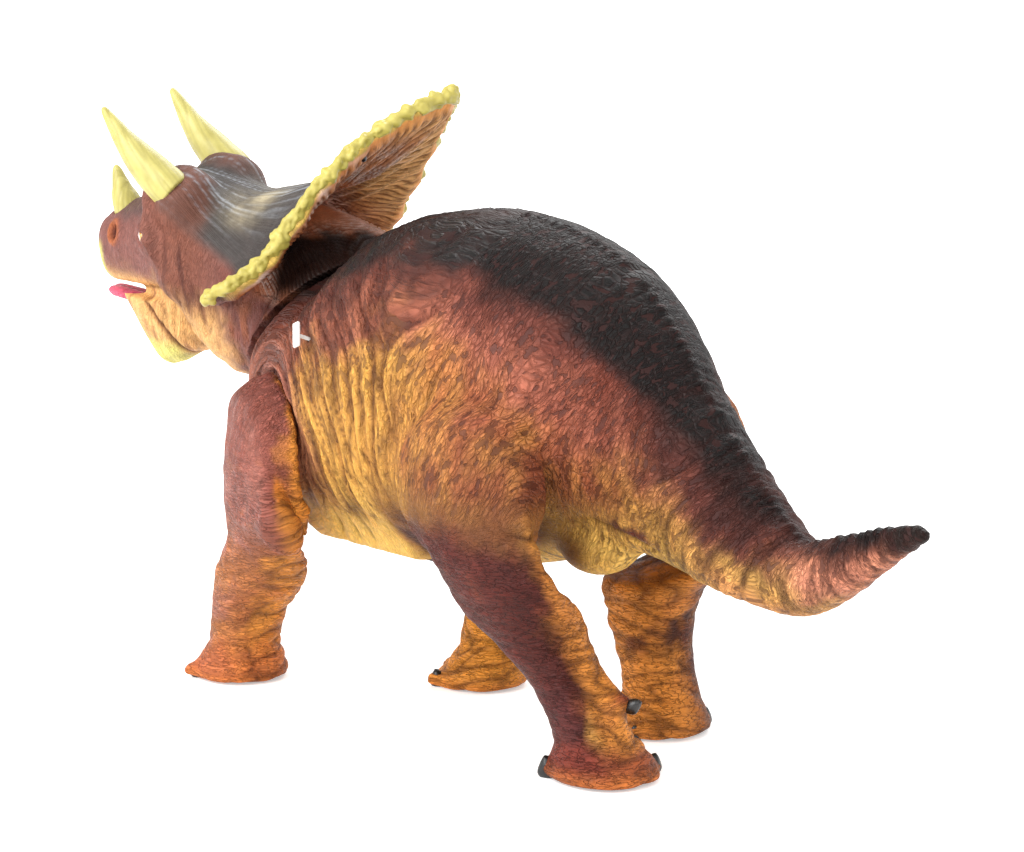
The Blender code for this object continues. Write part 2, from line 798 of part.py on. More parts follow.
def leg_rings(
    socket, yaw, root_shares, leg_shares, leg_radius, stride, out, walls, sides, steps
):
    """Return the rings of a leg, from its socket's face down to the sole.

    The rings are drawn in by two walls, the first at the leg's root and the second below it.
    """
    side = 1 if socket.axis.y > 0 else -1
    forward = Vector((math.cos(yaw), -side * math.sin(yaw), 0.0))
    start = socket.centre + socket.axis * CLEARANCE
    radius = socket.radius - CLEARANCE
    rings = []
    for away, ahead, above, lean, half_length, half_width in smooth_rows(root_shares, steps):
        angle = lean * math.pi / 2
        up = socket.axis * math.sin(angle) + Vector((0.0, 0.0, math.cos(angle)))
        centre = start + socket.axis * (away * radius) + forward * (ahead * radius)
        centre.z += above * radius
        size = half_width * radius - walls[0]
        reach = half_length * radius - walls[0]
        rings.append(ring(centre, forward, up, reach, size, size, sides))
    for height, step, inward, half_length, half_width in smooth_rows(leg_shares, steps):
        centre = Vector(
            (
                socket.centre.x + step * stride,
                side * out * (1 - inward),
                height * socket.centre.z,
            )
        )
        size = half_width * leg_radius - walls[1]
        rings.append(
            ring(
                centre,
                Vector((1.0, 0.0, 0.0)),
                Vector((0.0, side, 0.0)),
                half_length * leg_radius - walls[1],
                size,
                size,
                sides,
                LEG_ROUNDNESS_SHARE,
            )
        )
    return rings


def make_claw(centre, heading, size):
    """Return one toe claw, a flattened dome whose heading is level."""
    shape = bmesh.new()
    bmesh.ops.create_icosphere(shape, subdivisions=1, radius=1.0)
    turn = Matrix.Rotation(math.atan2(heading.y, heading.x), 4, "Z")
    scale = Matrix.Diagonal((CLAW_LENGTH * size, CLAW_WIDTH * size, CLAW_HEIGHT * size, 1.0))
    shape.transform(Matrix.Translation(centre) @ turn @ scale)
    bmesh.ops.bisect_plane(
        shape,
        geom=shape.verts[:] + shape.edges[:] + shape.faces[:],
        plane_co=(0.0, 0.0, CLEARANCE),
        plane_no=(0.0, 0.0, -1.0),
        clear_outer=True,
    )
    bmesh.ops.holes_fill(shape, edges=shape.edges[:])
    bmesh.ops.triangulate(shape, faces=shape.faces[:])
    bmesh.ops.recalc_face_normals(shape, faces=shape.faces[:])
    return add_object("claw", shape, None)


def make_leg(name, socket, yaw, root_shares, leg_shares, leg_radius, stride, out, claws, finish):
    """Build one hollow leg with its flanged plug and toe claws."""
    side = 1 if socket.axis.y > 0 else -1
    rings = leg_rings(
        socket, yaw, root_shares, leg_shares, leg_radius, stride, out, (0.0, 0.0), LEG_SIDES, 1
    )
    leg = add_object(name, loft(rings), finish)
    foot = leg_shares[-1]
    sole = Vector(
        (socket.centre.x + foot[1] * stride, side * out * (1 - foot[2]), CLAW_HEIGHT / 2)
    )
    tools = [socket.plug(OVERRUN)]
    for turn, size in claws:
        angle = turn * math.pi / 2
        heading = Vector((math.cos(angle), side * math.sin(angle), 0.0))
        reach_x = heading.x * foot[3] * leg_radius
        reach_y = heading.y * foot[4] * leg_radius
        tools.append(make_claw(sole + Vector((reach_x, reach_y, 0.0)), heading, size))
    join(leg, *tools, folded=True)
    walls = (LEG_ROOT_WALL, LEG_WALL)
    root = root_shares[1:-1]
    shaft = leg_shares[1:-3]
    inner = leg_rings(socket, yaw, root, shaft, leg_radius, stride, out, walls, CAVITY_SIDES, 1)
    hollow = add_object("hollow", loft(inner), None)
    depth = 2 * OVERRUN
    return finish_shape(cut(leg, hollow, socket.plug_bore(depth), folded=True))


def brow_point(forward, left, up):
    """Return a place in the turned head, measured from between the brow horns."""
    turn = Matrix.Rotation(HEAD_YAW, 3, "Z")
    middle = NECK_CENTRE + turn @ Vector((HEAD_REACH, 0.0, HEAD_LIFT))
    return middle + turn @ Matrix.Rotation(-HEAD_ROLL, 3, "X") @ Vector((forward, left, up))


def head_direction(forward, left, up):
    """Return a direction in the turned head."""
    turn = Matrix.Rotation(HEAD_YAW, 3, "Z") @ Matrix.Rotation(-HEAD_ROLL, 3, "X")
    return (turn @ Vector((forward, left, up))).normalized()


def skull_rings(inset, sides, rows):
    """Return the rings of the neck and skull from the seam to the snout."""
    rings = []
    for ahead, above, lean, width, rise, drop, turned in rows:
        yaw = HEAD_YAW * turned
        angle = lean * math.pi / 2
        turn = Matrix.Rotation(yaw, 3, "Z") @ Matrix.Rotation(-HEAD_ROLL * turned, 3, "X")
        across = turn @ Vector((0.0, 1.0, 0.0))
        up = turn @ Vector((-math.sin(angle), 0.0, math.cos(angle)))
        centre = brow_point(ahead * SKULL_LENGTH, 0.0, above * SKULL_RISE)
        rings.append(
            ring(
                centre,
                across,
                up,
                width * SKULL_HALF_WIDTH - inset,
                rise * SKULL_RISE - inset,
                drop * SKULL_RISE - inset,
                sides,
                SKULL_ROUNDNESS_SHARE,
            )
        )
    return rings


def jaw_shape(grow, rows):
    """Return the bowl of the lower jaw, grown by a clearance where it cuts its own seat."""
    rings = []
    for fall, front, back, width in rows:
        middle = (front + back) / 2 * JAW_LENGTH
        half = (front - back) / 2 * JAW_LENGTH + grow
        height = -(SKULL_RISE * 1.4 + fall * JAW_DROP) - grow * (1 if fall else -1)
        centre = brow_point(middle, 0.0, height)
        size = width * JAW_HALF_WIDTH + grow
        across = head_direction(0.0, 1.0, 0.0)
        front_axis = head_direction(1.0, 0.0, 0.0)
        rings.append(ring(centre, across, front_axis, size, half, half, 20))
    return loft(rings)


def mouth_cutters():
    """Return the hollow of the open mouth and the gap between beak and jaw for the tongue."""
    cutters = []
    for along, above, length, width, height, lean in MOUTH_SHARES:
        shape = bmesh.new()
        bmesh.ops.create_icosphere(shape, subdivisions=2, radius=1.0)
        scale = Matrix.Diagonal(
            (length * GAPE_LENGTH, width * JAW_HALF_WIDTH, height * JAW_DROP, 1.0)
        )
        tilt = Matrix.Rotation(lean * math.pi / 2, 4, "Y")
        turn = Matrix.Rotation(HEAD_YAW, 4, "Z") @ Matrix.Rotation(-HEAD_ROLL, 4, "X")
        centre = brow_point(along * GAPE_LENGTH, 0.0, above * SKULL_RISE)
        shape.transform(Matrix.Translation(centre) @ turn @ tilt @ scale)
        cutters.append(add_object("mouth", shape, None))
    return cutters


def frill_edge(shares):
    """Return a frill curve from the left corner over the top to the right corner."""
    left = [
        (half * FRILL_HALF_WIDTH, -back * FRILL_LENGTH, up * FRILL_LENGTH)
        for half, back, up in shares
    ]
    right = [(-across, back, up) for across, back, up in reversed(left[:-1])]
    return left + right


def frill_shape():
    """Return the frill, a dished sheet with a scalloped rim and a pleated back."""
    steps = SCALLOP_COUNT * 2
    root = smooth_rows(frill_edge(FRILL_ROOT_SHARES), 6)
    rim = smooth_rows(frill_edge(FRILL_RIM_SHARES), 6)
    last = len(rim) - 1
    front_rows = []
    back_rows = []
    for index in range(steps + 1):
        place = last * index / steps
        low = min(int(place), last - 1)
        share = place - low
        base = Vector([lerp(a, b, share) for a, b in zip(root[low], root[low + 1])])
        edge = Vector([lerp(a, b, share) for a, b in zip(rim[low], rim[low + 1])])
        reach = edge - base
        outward = reach.normalized()
        along = Vector([b - a for a, b in zip(rim[low], rim[low + 1])]).normalized()
        normal = outward.cross(along).normalized()
        if normal.y < 0:
            normal = -normal
        wave = 0.5 - 0.5 * math.cos(2 * math.pi * SCALLOP_COUNT * index / steps)
        fronts = []
        backs = []
        for row, part in enumerate(FRILL_ROWS_SHARES):
            sag = FRILL_SAG_SHARE * reach.length * math.sin(math.pi * part)
            middle = base + reach * part - normal * sag
            thick = FRILL_THICKNESS / 2
            if row == len(FRILL_ROWS_SHARES) - 1:
                thick = FRILL_RIM_RADIUS * lerp(0.7, 1.0, wave)
            pleat = PLEAT_DEPTH * (1 if index % 2 else -1) * math.sin(math.pi * part)
            fronts.append(middle + normal * thick)
            backs.append(middle - normal * (thick + pleat))
        tip = edge + outward * (SCALLOP_HEIGHT * wave)
        front_rows.append(fronts + [tip])
        back_rows.append(backs)
    rings = [front + list(reversed(back)) for front, back in zip(front_rows, back_rows)]
    rings = [[brow_point(y, x, z) for x, y, z in points] for points in rings]
    return loft(rings)


def horn_rings(base, axis, bend, radius, length, grow, profile):
    """Return the rings of a curved horn whose root reaches into its socket."""
    side = axis.orthogonal().normalized()
    rings = []
    for along, size in profile:
        centre = base + axis * (along * length) + bend * (max(along, 0.0) ** 2 * length)
        reach = size * radius + grow
        direction = (axis + bend * (2 * max(along, 0.0))).normalized()
        across = (side - direction * side.dot(direction)).normalized()
        up = direction.cross(across)
        rings.append(ring(centre, across, up, reach, reach, reach, 16))
    return rings


def horn(name, base, axis, bend, radius, length, finish):
    """Build one horn and the cutter of its socket."""
    root = -HORN_SEAT_DEPTH / length
    profile = ((root, 1.0), *HORN_SHARES)
    rings = horn_rings(base, axis, bend, radius, length, 0.0, profile)
    made = add_object(name, loft(rings), finish)
    seat = cylinder(
        name + "_seat",
        base - axis * (HORN_SEAT_DEPTH + CLEARANCE),
        axis,
        radius + CLEARANCE,
        HORN_SEAT_DEPTH + radius * 2,
        16,
    )
    return made, seat


def make_horns(finish):
    """Build the three horns and return them with their sockets' cutters."""
    horns = []
    for name, side in (("left_brow_horn", 1), ("right_brow_horn", -1)):
        base = brow_point(0.0, side * BROW_HORN_SPREAD, -BROW_HORN_RADIUS * 0.35)
        axis = head_direction(0.80, side * 0.03, 0.60)
        bend = head_direction(-0.60, side * 0.06, 0.8) * 0.2
        horns.append(horn(name, base, axis, bend, BROW_HORN_RADIUS, BROW_HORN_LENGTH, finish))
    base = brow_point(SKULL_LENGTH * 0.30, 0.0, -SKULL_RISE * 0.52)
    axis = head_direction(0.34, 0.0, 0.94)
    bend = head_direction(-0.9, 0.0, 0.42) * 0.08
    horns.append(horn("nose_horn", base, axis, bend, NOSE_HORN_RADIUS, NOSE_HORN_LENGTH, finish))
    return horns


def make_eyes(finish):
    """Build the two eyes and return them with their sockets' cutters."""
    eyes = []
    for name, side in (("left_eye", 1), ("right_eye", -1)):
        centre = brow_point(SKULL_LENGTH * 0.09, side * SKULL_HALF_WIDTH * 0.68, -SKULL_RISE * 0.64)
        balls = []
        for size in (EYE_RADIUS, EYE_RADIUS + CLEARANCE):
            shape = bmesh.new()
            bmesh.ops.create_icosphere(shape, subdivisions=2, radius=size)
            shape.transform(Matrix.Translation(centre))
            balls.append(add_object(name, shape, finish))
        eyes.append(balls)
    return eyes


def make_head(finish, horn_finish, eye_finish, mouth_finish):
    """Build the head, its jaw, tongue, horns and eyes."""
    rows = smooth_rows(SKULL_SHARES, 2)
    rings = [neck_ring(CLEARANCE, NECK_RADIUS, HEAD_SIDES)]
    rings += skull_rings(0.0, HEAD_SIDES, rows)
    head = add_object("head_shell", loft(rings), finish)
    frill = add_object("frill", frill_shape(), None)
    neck = Socket(NECK_CENTRE, NECK_AXIS, NECK_RADIUS, NECK_PLUG_RADIUS)
    join(head, frill, folded=True)
    join(head, neck.plug(OVERRUN))
    inner = [neck_ring(WALL, NECK_RADIUS - WALL, CAVITY_SIDES)]
    inner += skull_rings(WALL, CAVITY_SIDES, SKULL_SHARES[:4])
    hollow = add_object("hollow", loft(inner), None)
    jaw = add_object("lower_jaw", jaw_shape(0.0, smooth_rows(JAW_SHARES, 2)), finish)
    jaw_seat = add_object("jaw_seat", jaw_shape(CLEARANCE, smooth_rows(JAW_SHARES, 2)), None)
    horns = make_horns(horn_finish)
    eyes = make_eyes(eye_finish)
    tools = [hollow, neck.plug_bore(2 * OVERRUN), jaw_seat, *mouth_cutters()]
    tools += [seat for _, seat in horns]
    tools += [socket for _, socket in eyes]
    finish_shape(cut(head, *tools))
    finish_shape(cut(jaw, *mouth_cutters()))
    tongue = make_tongue(mouth_finish)
    return [head, jaw, tongue] + [item for item, _ in horns] + [item for item, _ in eyes]


def make_tongue(finish):
    """Build the tongue, which rises from the jaw and ends behind the beak."""
    rings = []
    across = head_direction(0.0, 1.0, 0.0)
    for along, above, width, depth in smooth_rows(TONGUE_SHARES, 2):
        rise = TONGUE_ROOT_SHARE * SKULL_RISE + above * TONGUE_LENGTH
        centre = brow_point(along * TONGUE_LENGTH, 0.0, rise)
        up = head_direction(0.0, 0.0, 1.0)
        half = TONGUE_THICKNESS / 2 * depth
        rings.append(ring(centre, across, up, TONGUE_HALF_WIDTH * width, half, half, 12))
    return add_object("tongue", loft(rings), finish)


def tag_place():
    """Return the fastener's place on the left shoulder and its outward direction."""
    share = TAG_SETBACK / BODY_LENGTH
    rows = smooth_rows(BODY_SHARES, 2)
    index = sum(1 for row in rows if row[0] < share)
    before, after = rows[index - 1], rows[index]
    part = (share - before[0]) / (after[0] - before[0])
    _, height, _, width, rise, _, _ = [lerp(a, b, part) for a, b in zip(before, after)]
    half = width * TRUNK_HALF_WIDTH
    tall = rise * TRUNK_RISE
    above = TAG_HEIGHT - row_height(share, height)
    power = TRUNK_ROUNDNESS_SHARE
    across = half * (1 - abs(above / tall) ** power) ** (1 / power)
    outward = Vector((0.0, across / half**2, above / tall**2)).normalized()
    return Vector((-TAG_SETBACK, across, TAG_HEIGHT)), outward


def tag_hole():
    """Return the needle hole of the fastener's stem."""
    place, outward = tag_place()
    start = place - outward * (WALL + OVERRUN)
    radius = TAG_STEM_RADIUS + CLEARANCE
    return cylinder("needle", start, outward, radius, WALL + 2 * OVERRUN, SMALL_ROUND_SIDES)


def make_tag_fastener(finish):
    """Build the white barb: a flat paddle outside and a stem through the wall."""
    place, outward = tag_place()
    stem = cylinder(
        "tag_fastener",
        place - outward * (WALL + TAG_BAR_WIDTH),
        outward,
        TAG_STEM_RADIUS,
        WALL + TAG_BAR_WIDTH * 2,
        SMALL_ROUND_SIDES,
        finish,
    )
    bar = bmesh.new()
    bmesh.ops.create_cube(bar, size=1.0)
    along = Vector((0.45, 0.0, 1.0))
    along = (along - outward * along.dot(outward)).normalized()
    across = outward.cross(along)
    turn = Matrix((along, across, outward)).transposed().to_4x4()
    scale = Matrix.Diagonal((TAG_BAR_LENGTH, TAG_BAR_WIDTH, TAG_BAR_THICKNESS, 1.0))
    centre = place + outward * TAG_BAR_WIDTH
    bar.transform(Matrix.Translation(centre) @ turn @ scale)
    bmesh.ops.bevel(
        bar,
        geom=bar.edges[:],
        offset=TAG_BAR_THICKNESS / 3,
        segments=1,
        affect="EDGES",
    )
    return join(stem, add_object("bar", bar, None))


def screw_places():
    """Return where the unit's four corner screws stand."""
    seat = unit_centre()
    reach_x = UNIT_LENGTH / 2 - SCREW_INSET
    reach_y = UNIT_WIDTH / 2 - SCREW_INSET
    return [(seat.x + a * reach_x, seat.y + b * reach_y) for a in (-1, 1) for b in (-1, 1)]


def upright(name, x, y, bottom, top, radius, sides=SMALL_ROUND_SIDES, finish=None):
    """Return an upright round bar between two heights."""
    base = Vector((x, y, bottom))
    return cylinder(name, base, Vector((0.0, 0.0, 1.0)), radius, top - bottom, sides, finish)


def stepped_bar(name, x, y, profile, sides, finish):
    """Return a turned upright piece from heights and radii, bottom first."""
    side = Vector((1.0, 0.0, 0.0))
    up = Vector((0.0, 1.0, 0.0))
    rings = [
        ring(Vector((x, y, height)), side, up, radius, radius, radius, sides)
        for height, radius in profile
    ]
    return add_object(name, loft(rings), finish)


def door_centre():
    """Return the middle of the battery door."""
    seat = unit_centre()
    return Vector((seat.x - CASE_LENGTH / 2 + CASE_WALL + DOOR_WIDTH / 2, seat.y, seat.z))


def door_screw_place():
    """Return where the door's screw stands, at the door's left end."""
    middle = door_centre()
    return middle.x, middle.y + DOOR_LENGTH / 2 - SCREW_HEAD_RADIUS - DOOR_LEDGE / 2


def button_place():
    """Return where the button stands, beside the door."""
    middle = door_centre()
    return middle.x + DOOR_WIDTH / 2 + BUTTON_COLLAR + BUTTON_RADIUS + CLEARANCE, middle.y


def speaker_place():
    """Return the middle of the speaker, at the front of the case."""
    seat = unit_centre()
    return seat.x + CASE_LENGTH / 2 - CASE_WALL - SPEAKER_RADIUS - CLEARANCE, seat.y


def make_cover(finish):
    """Build the belly plate with its slots, door opening, button hole and screw holes."""
    seat = unit_centre()
    top = seat.z - CLEARANCE
    bottom = top - COVER_THICKNESS
    cover = rounded_block(
        "sound_unit_cover", seat, UNIT_LENGTH, UNIT_WIDTH, bottom, top, UNIT_CORNER, finish
    )
    middle = door_centre()
    ledge_top = bottom + DOOR_THICKNESS + CLEARANCE
    tools = [
        rounded_block(
            "door_recess",
            middle,
            DOOR_WIDTH + 2 * CLEARANCE,
            DOOR_LENGTH + 2 * CLEARANCE,
            bottom - OVERRUN,
            ledge_top,
            CASE_FLANGE,
        ),
        rounded_block(
            "door_opening",
            middle,
            DOOR_WIDTH - 2 * DOOR_LEDGE,
            DOOR_LENGTH - 2 * DOOR_LEDGE,
            bottom - OVERRUN,
            top + OVERRUN,
            CASE_FLANGE,
        ),
    ]
    x, y = button_place()
    tools.append(
        upright("button_hole", x, y, bottom - OVERRUN, top + OVERRUN, BUTTON_RADIUS + CLEARANCE)
    )
    x, y = speaker_place()
    pitch = 2 * SLOT_WIDTH
    for index in range(SLOT_COUNT):
        offset = (index - (SLOT_COUNT - 1) / 2) * pitch
        centre = Vector((x + offset, y, seat.z))
        tools.append(
            rounded_block(
                "slot",
                centre,
                SLOT_WIDTH,
                SLOT_LENGTH,
                bottom - OVERRUN,
                top + OVERRUN,
                SLOT_WIDTH / 3,
            )
        )
    for x, y in screw_places():
        head_top = bottom + SCREW_HEAD_THICKNESS + CLEARANCE
        tools.append(
            upright("head", x, y, bottom - OVERRUN, head_top, SCREW_HEAD_RADIUS + CLEARANCE)
        )
        tools.append(
            upright("hole", x, y, bottom - OVERRUN, top + OVERRUN, SCREW_RADIUS + CLEARANCE)
        )
    return finish_shape(cut(cover, *tools))


def make_case(finish):
    """Build the case: an open box, its clamping flange with bosses, and posts for the board."""
    seat = unit_centre()
    flange_bottom = seat.z + WALL + CLEARANCE
    roof = flange_bottom + CASE_HEIGHT
    case = rounded_block(
        "sound_unit_case",
        seat,
        UNIT_LENGTH,
        UNIT_WIDTH,
        flange_bottom,
        flange_bottom + CASE_FLANGE,
        UNIT_CORNER,
        finish,
    )
    box = rounded_block("box", seat, CASE_LENGTH, CASE_WIDTH, seat.z, roof, CASE_CORNER)
    bosses = [
        upright(
            "boss",
            x,
            y,
            flange_bottom + CASE_FLANGE / 2,
            flange_bottom + CASE_FLANGE + BOSS_HEIGHT,
            SCREW_RADIUS + CLEARANCE + BOSS_WALL,
        )
        for x, y in screw_places()
    ]
    join(case, box, *bosses)
    hollow = rounded_block(
        "hollow",
        seat,
        CASE_LENGTH - 2 * CASE_WALL,
        CASE_WIDTH - 2 * CASE_WALL,
        seat.z - OVERRUN,
        roof - CASE_WALL,
        CASE_CORNER - CASE_WALL / 2,
    )
    cut(case, hollow)
    board_top = seat.z + BOARD_HEIGHT + BOARD_THICKNESS
    posts = [
        upright("post", x, y, board_top + CLEARANCE, roof - CASE_WALL / 2, POST_RADIUS)
        for x, y in post_places()
    ]
    x, y = door_screw_place()
    pillar_radius = SCREW_RADIUS + CLEARANCE + BOSS_WALL
    pillar = upright("pillar", x, y, seat.z, roof - CASE_WALL / 2, pillar_radius)
    join(case, pillar, *posts)
    holes = [
        upright(
            "thread",
            x,
            y,
            flange_bottom - OVERRUN,
            flange_bottom + CASE_FLANGE + BOSS_HEIGHT - BOSS_WALL,
            SCREW_RADIUS + CLEARANCE,
        )
        for x, y in screw_places()
    ]
    x, y = door_screw_place()
    depth = SCREW_LENGTH + CLEARANCE
    holes.append(
        upright("thread", x, y, seat.z - OVERRUN, seat.z + depth, SCREW_RADIUS + CLEARANCE)
    )
    return finish_shape(cut(case, *holes))


def post_places():
    """Return where the case's posts meet the board."""
    seat = unit_centre()
    reach_x = BOARD_LENGTH / 2 - 2 * POST_RADIUS
    reach_y = BOARD_WIDTH / 2 - 2 * POST_RADIUS
    board_x = seat.x + CASE_LENGTH / 2 - CASE_WALL - BOARD_LENGTH / 2 - POST_RADIUS
    return [(board_x + a * reach_x, seat.y + b * reach_y) for a in (-1, 1) for b in (-1, 1)]


def screw_profile(head_bottom, length):
    """Return the profile of a pan-head screw that points up."""
    neck = head_bottom + SCREW_HEAD_THICKNESS
    tip = neck + length
    return (
        (head_bottom, SCREW_HEAD_RADIUS * 0.8),
        (head_bottom + SCREW_HEAD_THICKNESS / 3, SCREW_HEAD_RADIUS),
        (neck, SCREW_HEAD_RADIUS),
        (neck, SCREW_RADIUS),
        (tip - SCREW_RADIUS, SCREW_RADIUS),
        (tip, SCREW_RADIUS * 0.3),
    )


def make_fasteners(finish):
    """Build the four unit screws and the door's screw."""
    bottom = unit_centre().z - CLEARANCE - COVER_THICKNESS
    length = COVER_THICKNESS + WALL + CASE_FLANGE + BOSS_HEIGHT - BOSS_WALL - SCREW_HEAD_THICKNESS
    profile = screw_profile(bottom, length)
    screws = []
    for name, (x, y) in zip(SCREW_NAMES, screw_places()):
        screws.append(stepped_bar(name, x, y, profile, SMALL_ROUND_SIDES, finish))
    x, y = door_screw_place()
    door_length = COVER_THICKNESS + SCREW_LENGTH - SCREW_HEAD_THICKNESS - 2 * CLEARANCE
    profile = screw_profile(bottom, door_length)
    screws.append(stepped_bar("door_screw", x, y, profile, SMALL_ROUND_SIDES, finish))
    return screws


def make_door(finish):
    """Build the battery door, level with the cover, with its screw hole."""
    middle = door_centre()
    bottom = middle.z - CLEARANCE - COVER_THICKNESS
    door = rounded_block(
        "battery_door",
        middle,
        DOOR_WIDTH,
        DOOR_LENGTH,
        bottom,
        bottom + DOOR_THICKNESS,
        CASE_FLANGE - CLEARANCE,
        finish,
    )
    x, y = door_screw_place()
    head_top = bottom + SCREW_HEAD_THICKNESS + CLEARANCE
    tools = [
        upright("head", x, y, bottom - OVERRUN, head_top, SCREW_HEAD_RADIUS + CLEARANCE),
        upright("hole", x, y, bottom - OVERRUN, bottom + OVERRUN, SCREW_RADIUS + CLEARANCE),
    ]
    return cut(door, *tools)


def make_cells(cell_finish, contact_finish):
    """Build the row of button cells and the contact plates at its ends."""
    middle = door_centre()
    count = len(CELL_NAMES)
    row_length = count * CELL_THICKNESS + (count - 1) * CLEARANCE
    inner_end = middle.y - CASE_WIDTH / 2 + CASE_WALL
    start = inner_end + 2 * CLEARANCE + CONTACT_THICKNESS
    height = middle.z + CLEARANCE + CELL_RADIUS
    side = Vector((1.0, 0.0, 0.0))
    up = Vector((0.0, 0.0, 1.0))
    cells = []
    for index, name in enumerate(CELL_NAMES):
        low = start + index * (CELL_THICKNESS + CLEARANCE)
        rim = CELL_THICKNESS / 6
        profile = (
            (low, CELL_RADIUS - rim),
            (low + rim, CELL_RADIUS),
            (low + CELL_THICKNESS, CELL_RADIUS),
        )
        rings = [
            ring(Vector((middle.x, y, height)), side, up, size, size, size, ROUND_SIDES)
            for y, size in profile
        ]
        cells.append(add_object(name, loft(rings), cell_finish))
    contacts = []
    gap = CLEARANCE + CONTACT_THICKNESS / 2
    for name, y in (
        ("right_cell_contact", start - gap),
        ("left_cell_contact", start + row_length + gap),
    ):
        centre = Vector((middle.x, y, height))
        contacts.append(
            rounded_block(
                name,
                centre,
                CELL_RADIUS,
                CONTACT_THICKNESS,
                height - CELL_RADIUS / 2,
                height + CELL_RADIUS / 2,
                0.0,
                contact_finish,
            )
        )
    return cells + contacts


def make_speaker(finish):
    """Build the speaker: a rim, a basket and a magnet, open side down."""
    x, y = speaker_place()
    base = unit_centre().z
    profile = (
        (base, SPEAKER_RADIUS),
        (base + SPEAKER_RIM, SPEAKER_RADIUS),
        (base + SPEAKER_HEIGHT * 0.55, MAGNET_RADIUS * 1.15),
        (base + SPEAKER_HEIGHT * 0.55, MAGNET_RADIUS),
        (base + SPEAKER_HEIGHT, MAGNET_RADIUS),
    )
    speaker = stepped_bar("speaker", x, y, profile, ROUND_SIDES, finish)
    cone = stepped_bar(
        "cone",
        x,
        y,
        ((base - OVERRUN, SPEAKER_RADIUS - SPEAKER_RIM), (base + SPEAKER_HEIGHT * 0.4, MAGNET_RADIUS * 0.5)),
        ROUND_SIDES,
        None,
    )
    return cut(speaker, cone)


def make_board(board_finish, switch_finish, lead_finish):
    """Build the circuit board with its sealed chip, the switch and the speaker's leads."""
    seat = unit_centre()
    posts = post_places()
    board_x = sum(x for x, _ in posts) / len(posts)
    bottom = seat.z + BOARD_HEIGHT
    centre = Vector((board_x, seat.y, 0.0))
    board = rounded_block(
        "circuit_board",
        centre,
        BOARD_LENGTH,
        BOARD_WIDTH,
        bottom,
        bottom + BOARD_THICKNESS,
        POST_RADIUS,
        board_finish,
    )
    chip_x, chip_y = speaker_place()
    chip = stepped_bar(
        "chip",
        chip_x,
        chip_y,
        (
            (bottom - CHIP_THICKNESS, CHIP_RADIUS * 0.6),
            (bottom - CHIP_THICKNESS / 3, CHIP_RADIUS),
            (bottom + BOARD_THICKNESS / 2, CHIP_RADIUS),
        ),
        SMALL_ROUND_SIDES,
        None,
    )
    join(board, chip)
    x, y = button_place()
    switch_top = bottom - CLEARANCE
    switch = rounded_block(
        "switch_block",
        Vector((x, y, 0.0)),
        SWITCH_WIDTH,
        SWITCH_WIDTH,
        switch_top - SWITCH_HEIGHT,
        switch_top,
        0.0,
        switch_finish,
    )
    plunger_bottom = switch_top - SWITCH_HEIGHT - PLUNGER_LENGTH
    join(switch, upright("plunger", x, y, plunger_bottom, switch_top - SWITCH_HEIGHT / 2, PLUNGER_RADIUS))
    leads = []
    speaker_top = seat.z + SPEAKER_HEIGHT
    for name, side in (("right_speaker_lead", -1), ("left_speaker_lead", 1)):
        lead_y = chip_y + side * MAGNET_RADIUS / 2
        leads.append(
            upright(
                name,
                chip_x,
                lead_y,
                speaker_top + CLEARANCE,
                bottom - CHIP_THICKNESS - CLEARANCE,
                LEAD_RADIUS,
                8,
                lead_finish,
            )
        )
    return [board, switch, *leads]


def make_button(finish):
    """Build the push button: a cap through the cover, its collar and its stem."""
    x, y = button_place()
    seat = unit_centre()
    cover_top = seat.z - CLEARANCE
    cover_bottom = cover_top - COVER_THICKNESS
    collar_bottom = cover_top + CLEARANCE
    switch_face = seat.z + BOARD_HEIGHT - CLEARANCE - SWITCH_HEIGHT - PLUNGER_LENGTH
    stem_top = switch_face - BUTTON_TRAVEL - CLEARANCE
    profile = (
        (cover_bottom - BUTTON_PROUD, BUTTON_RADIUS * 0.85),
        (cover_bottom - BUTTON_PROUD / 2, BUTTON_RADIUS),
        (collar_bottom, BUTTON_RADIUS),
        (collar_bottom, BUTTON_RADIUS + BUTTON_COLLAR),
        (collar_bottom + BUTTON_COLLAR_THICKNESS, BUTTON_RADIUS + BUTTON_COLLAR),
        (collar_bottom + BUTTON_COLLAR_THICKNESS, BUTTON_STEM_RADIUS),
        (stem_top, BUTTON_STEM_RADIUS),
    )
    button = stepped_bar("push_button", x, y, profile, 16, finish)
    place_origin(button, Vector((x, y, cover_bottom)))
    return button


def settle(items):
    """Move everything so that the origin is under the middle of the figure, on its soles."""
    corners = [item.matrix_world @ vertex.co for item in items for vertex in item.data.vertices]
    low = [min(corner[axis] for corner in corners) for axis in range(3)]
    high = [max(corner[axis] for corner in corners) for axis in range(3)]
    shift = Vector(((low[0] + high[0]) / 2, (low[1] + high[1]) / 2, low[2]))
    for item in items:
        item.location -= shift
    return shift


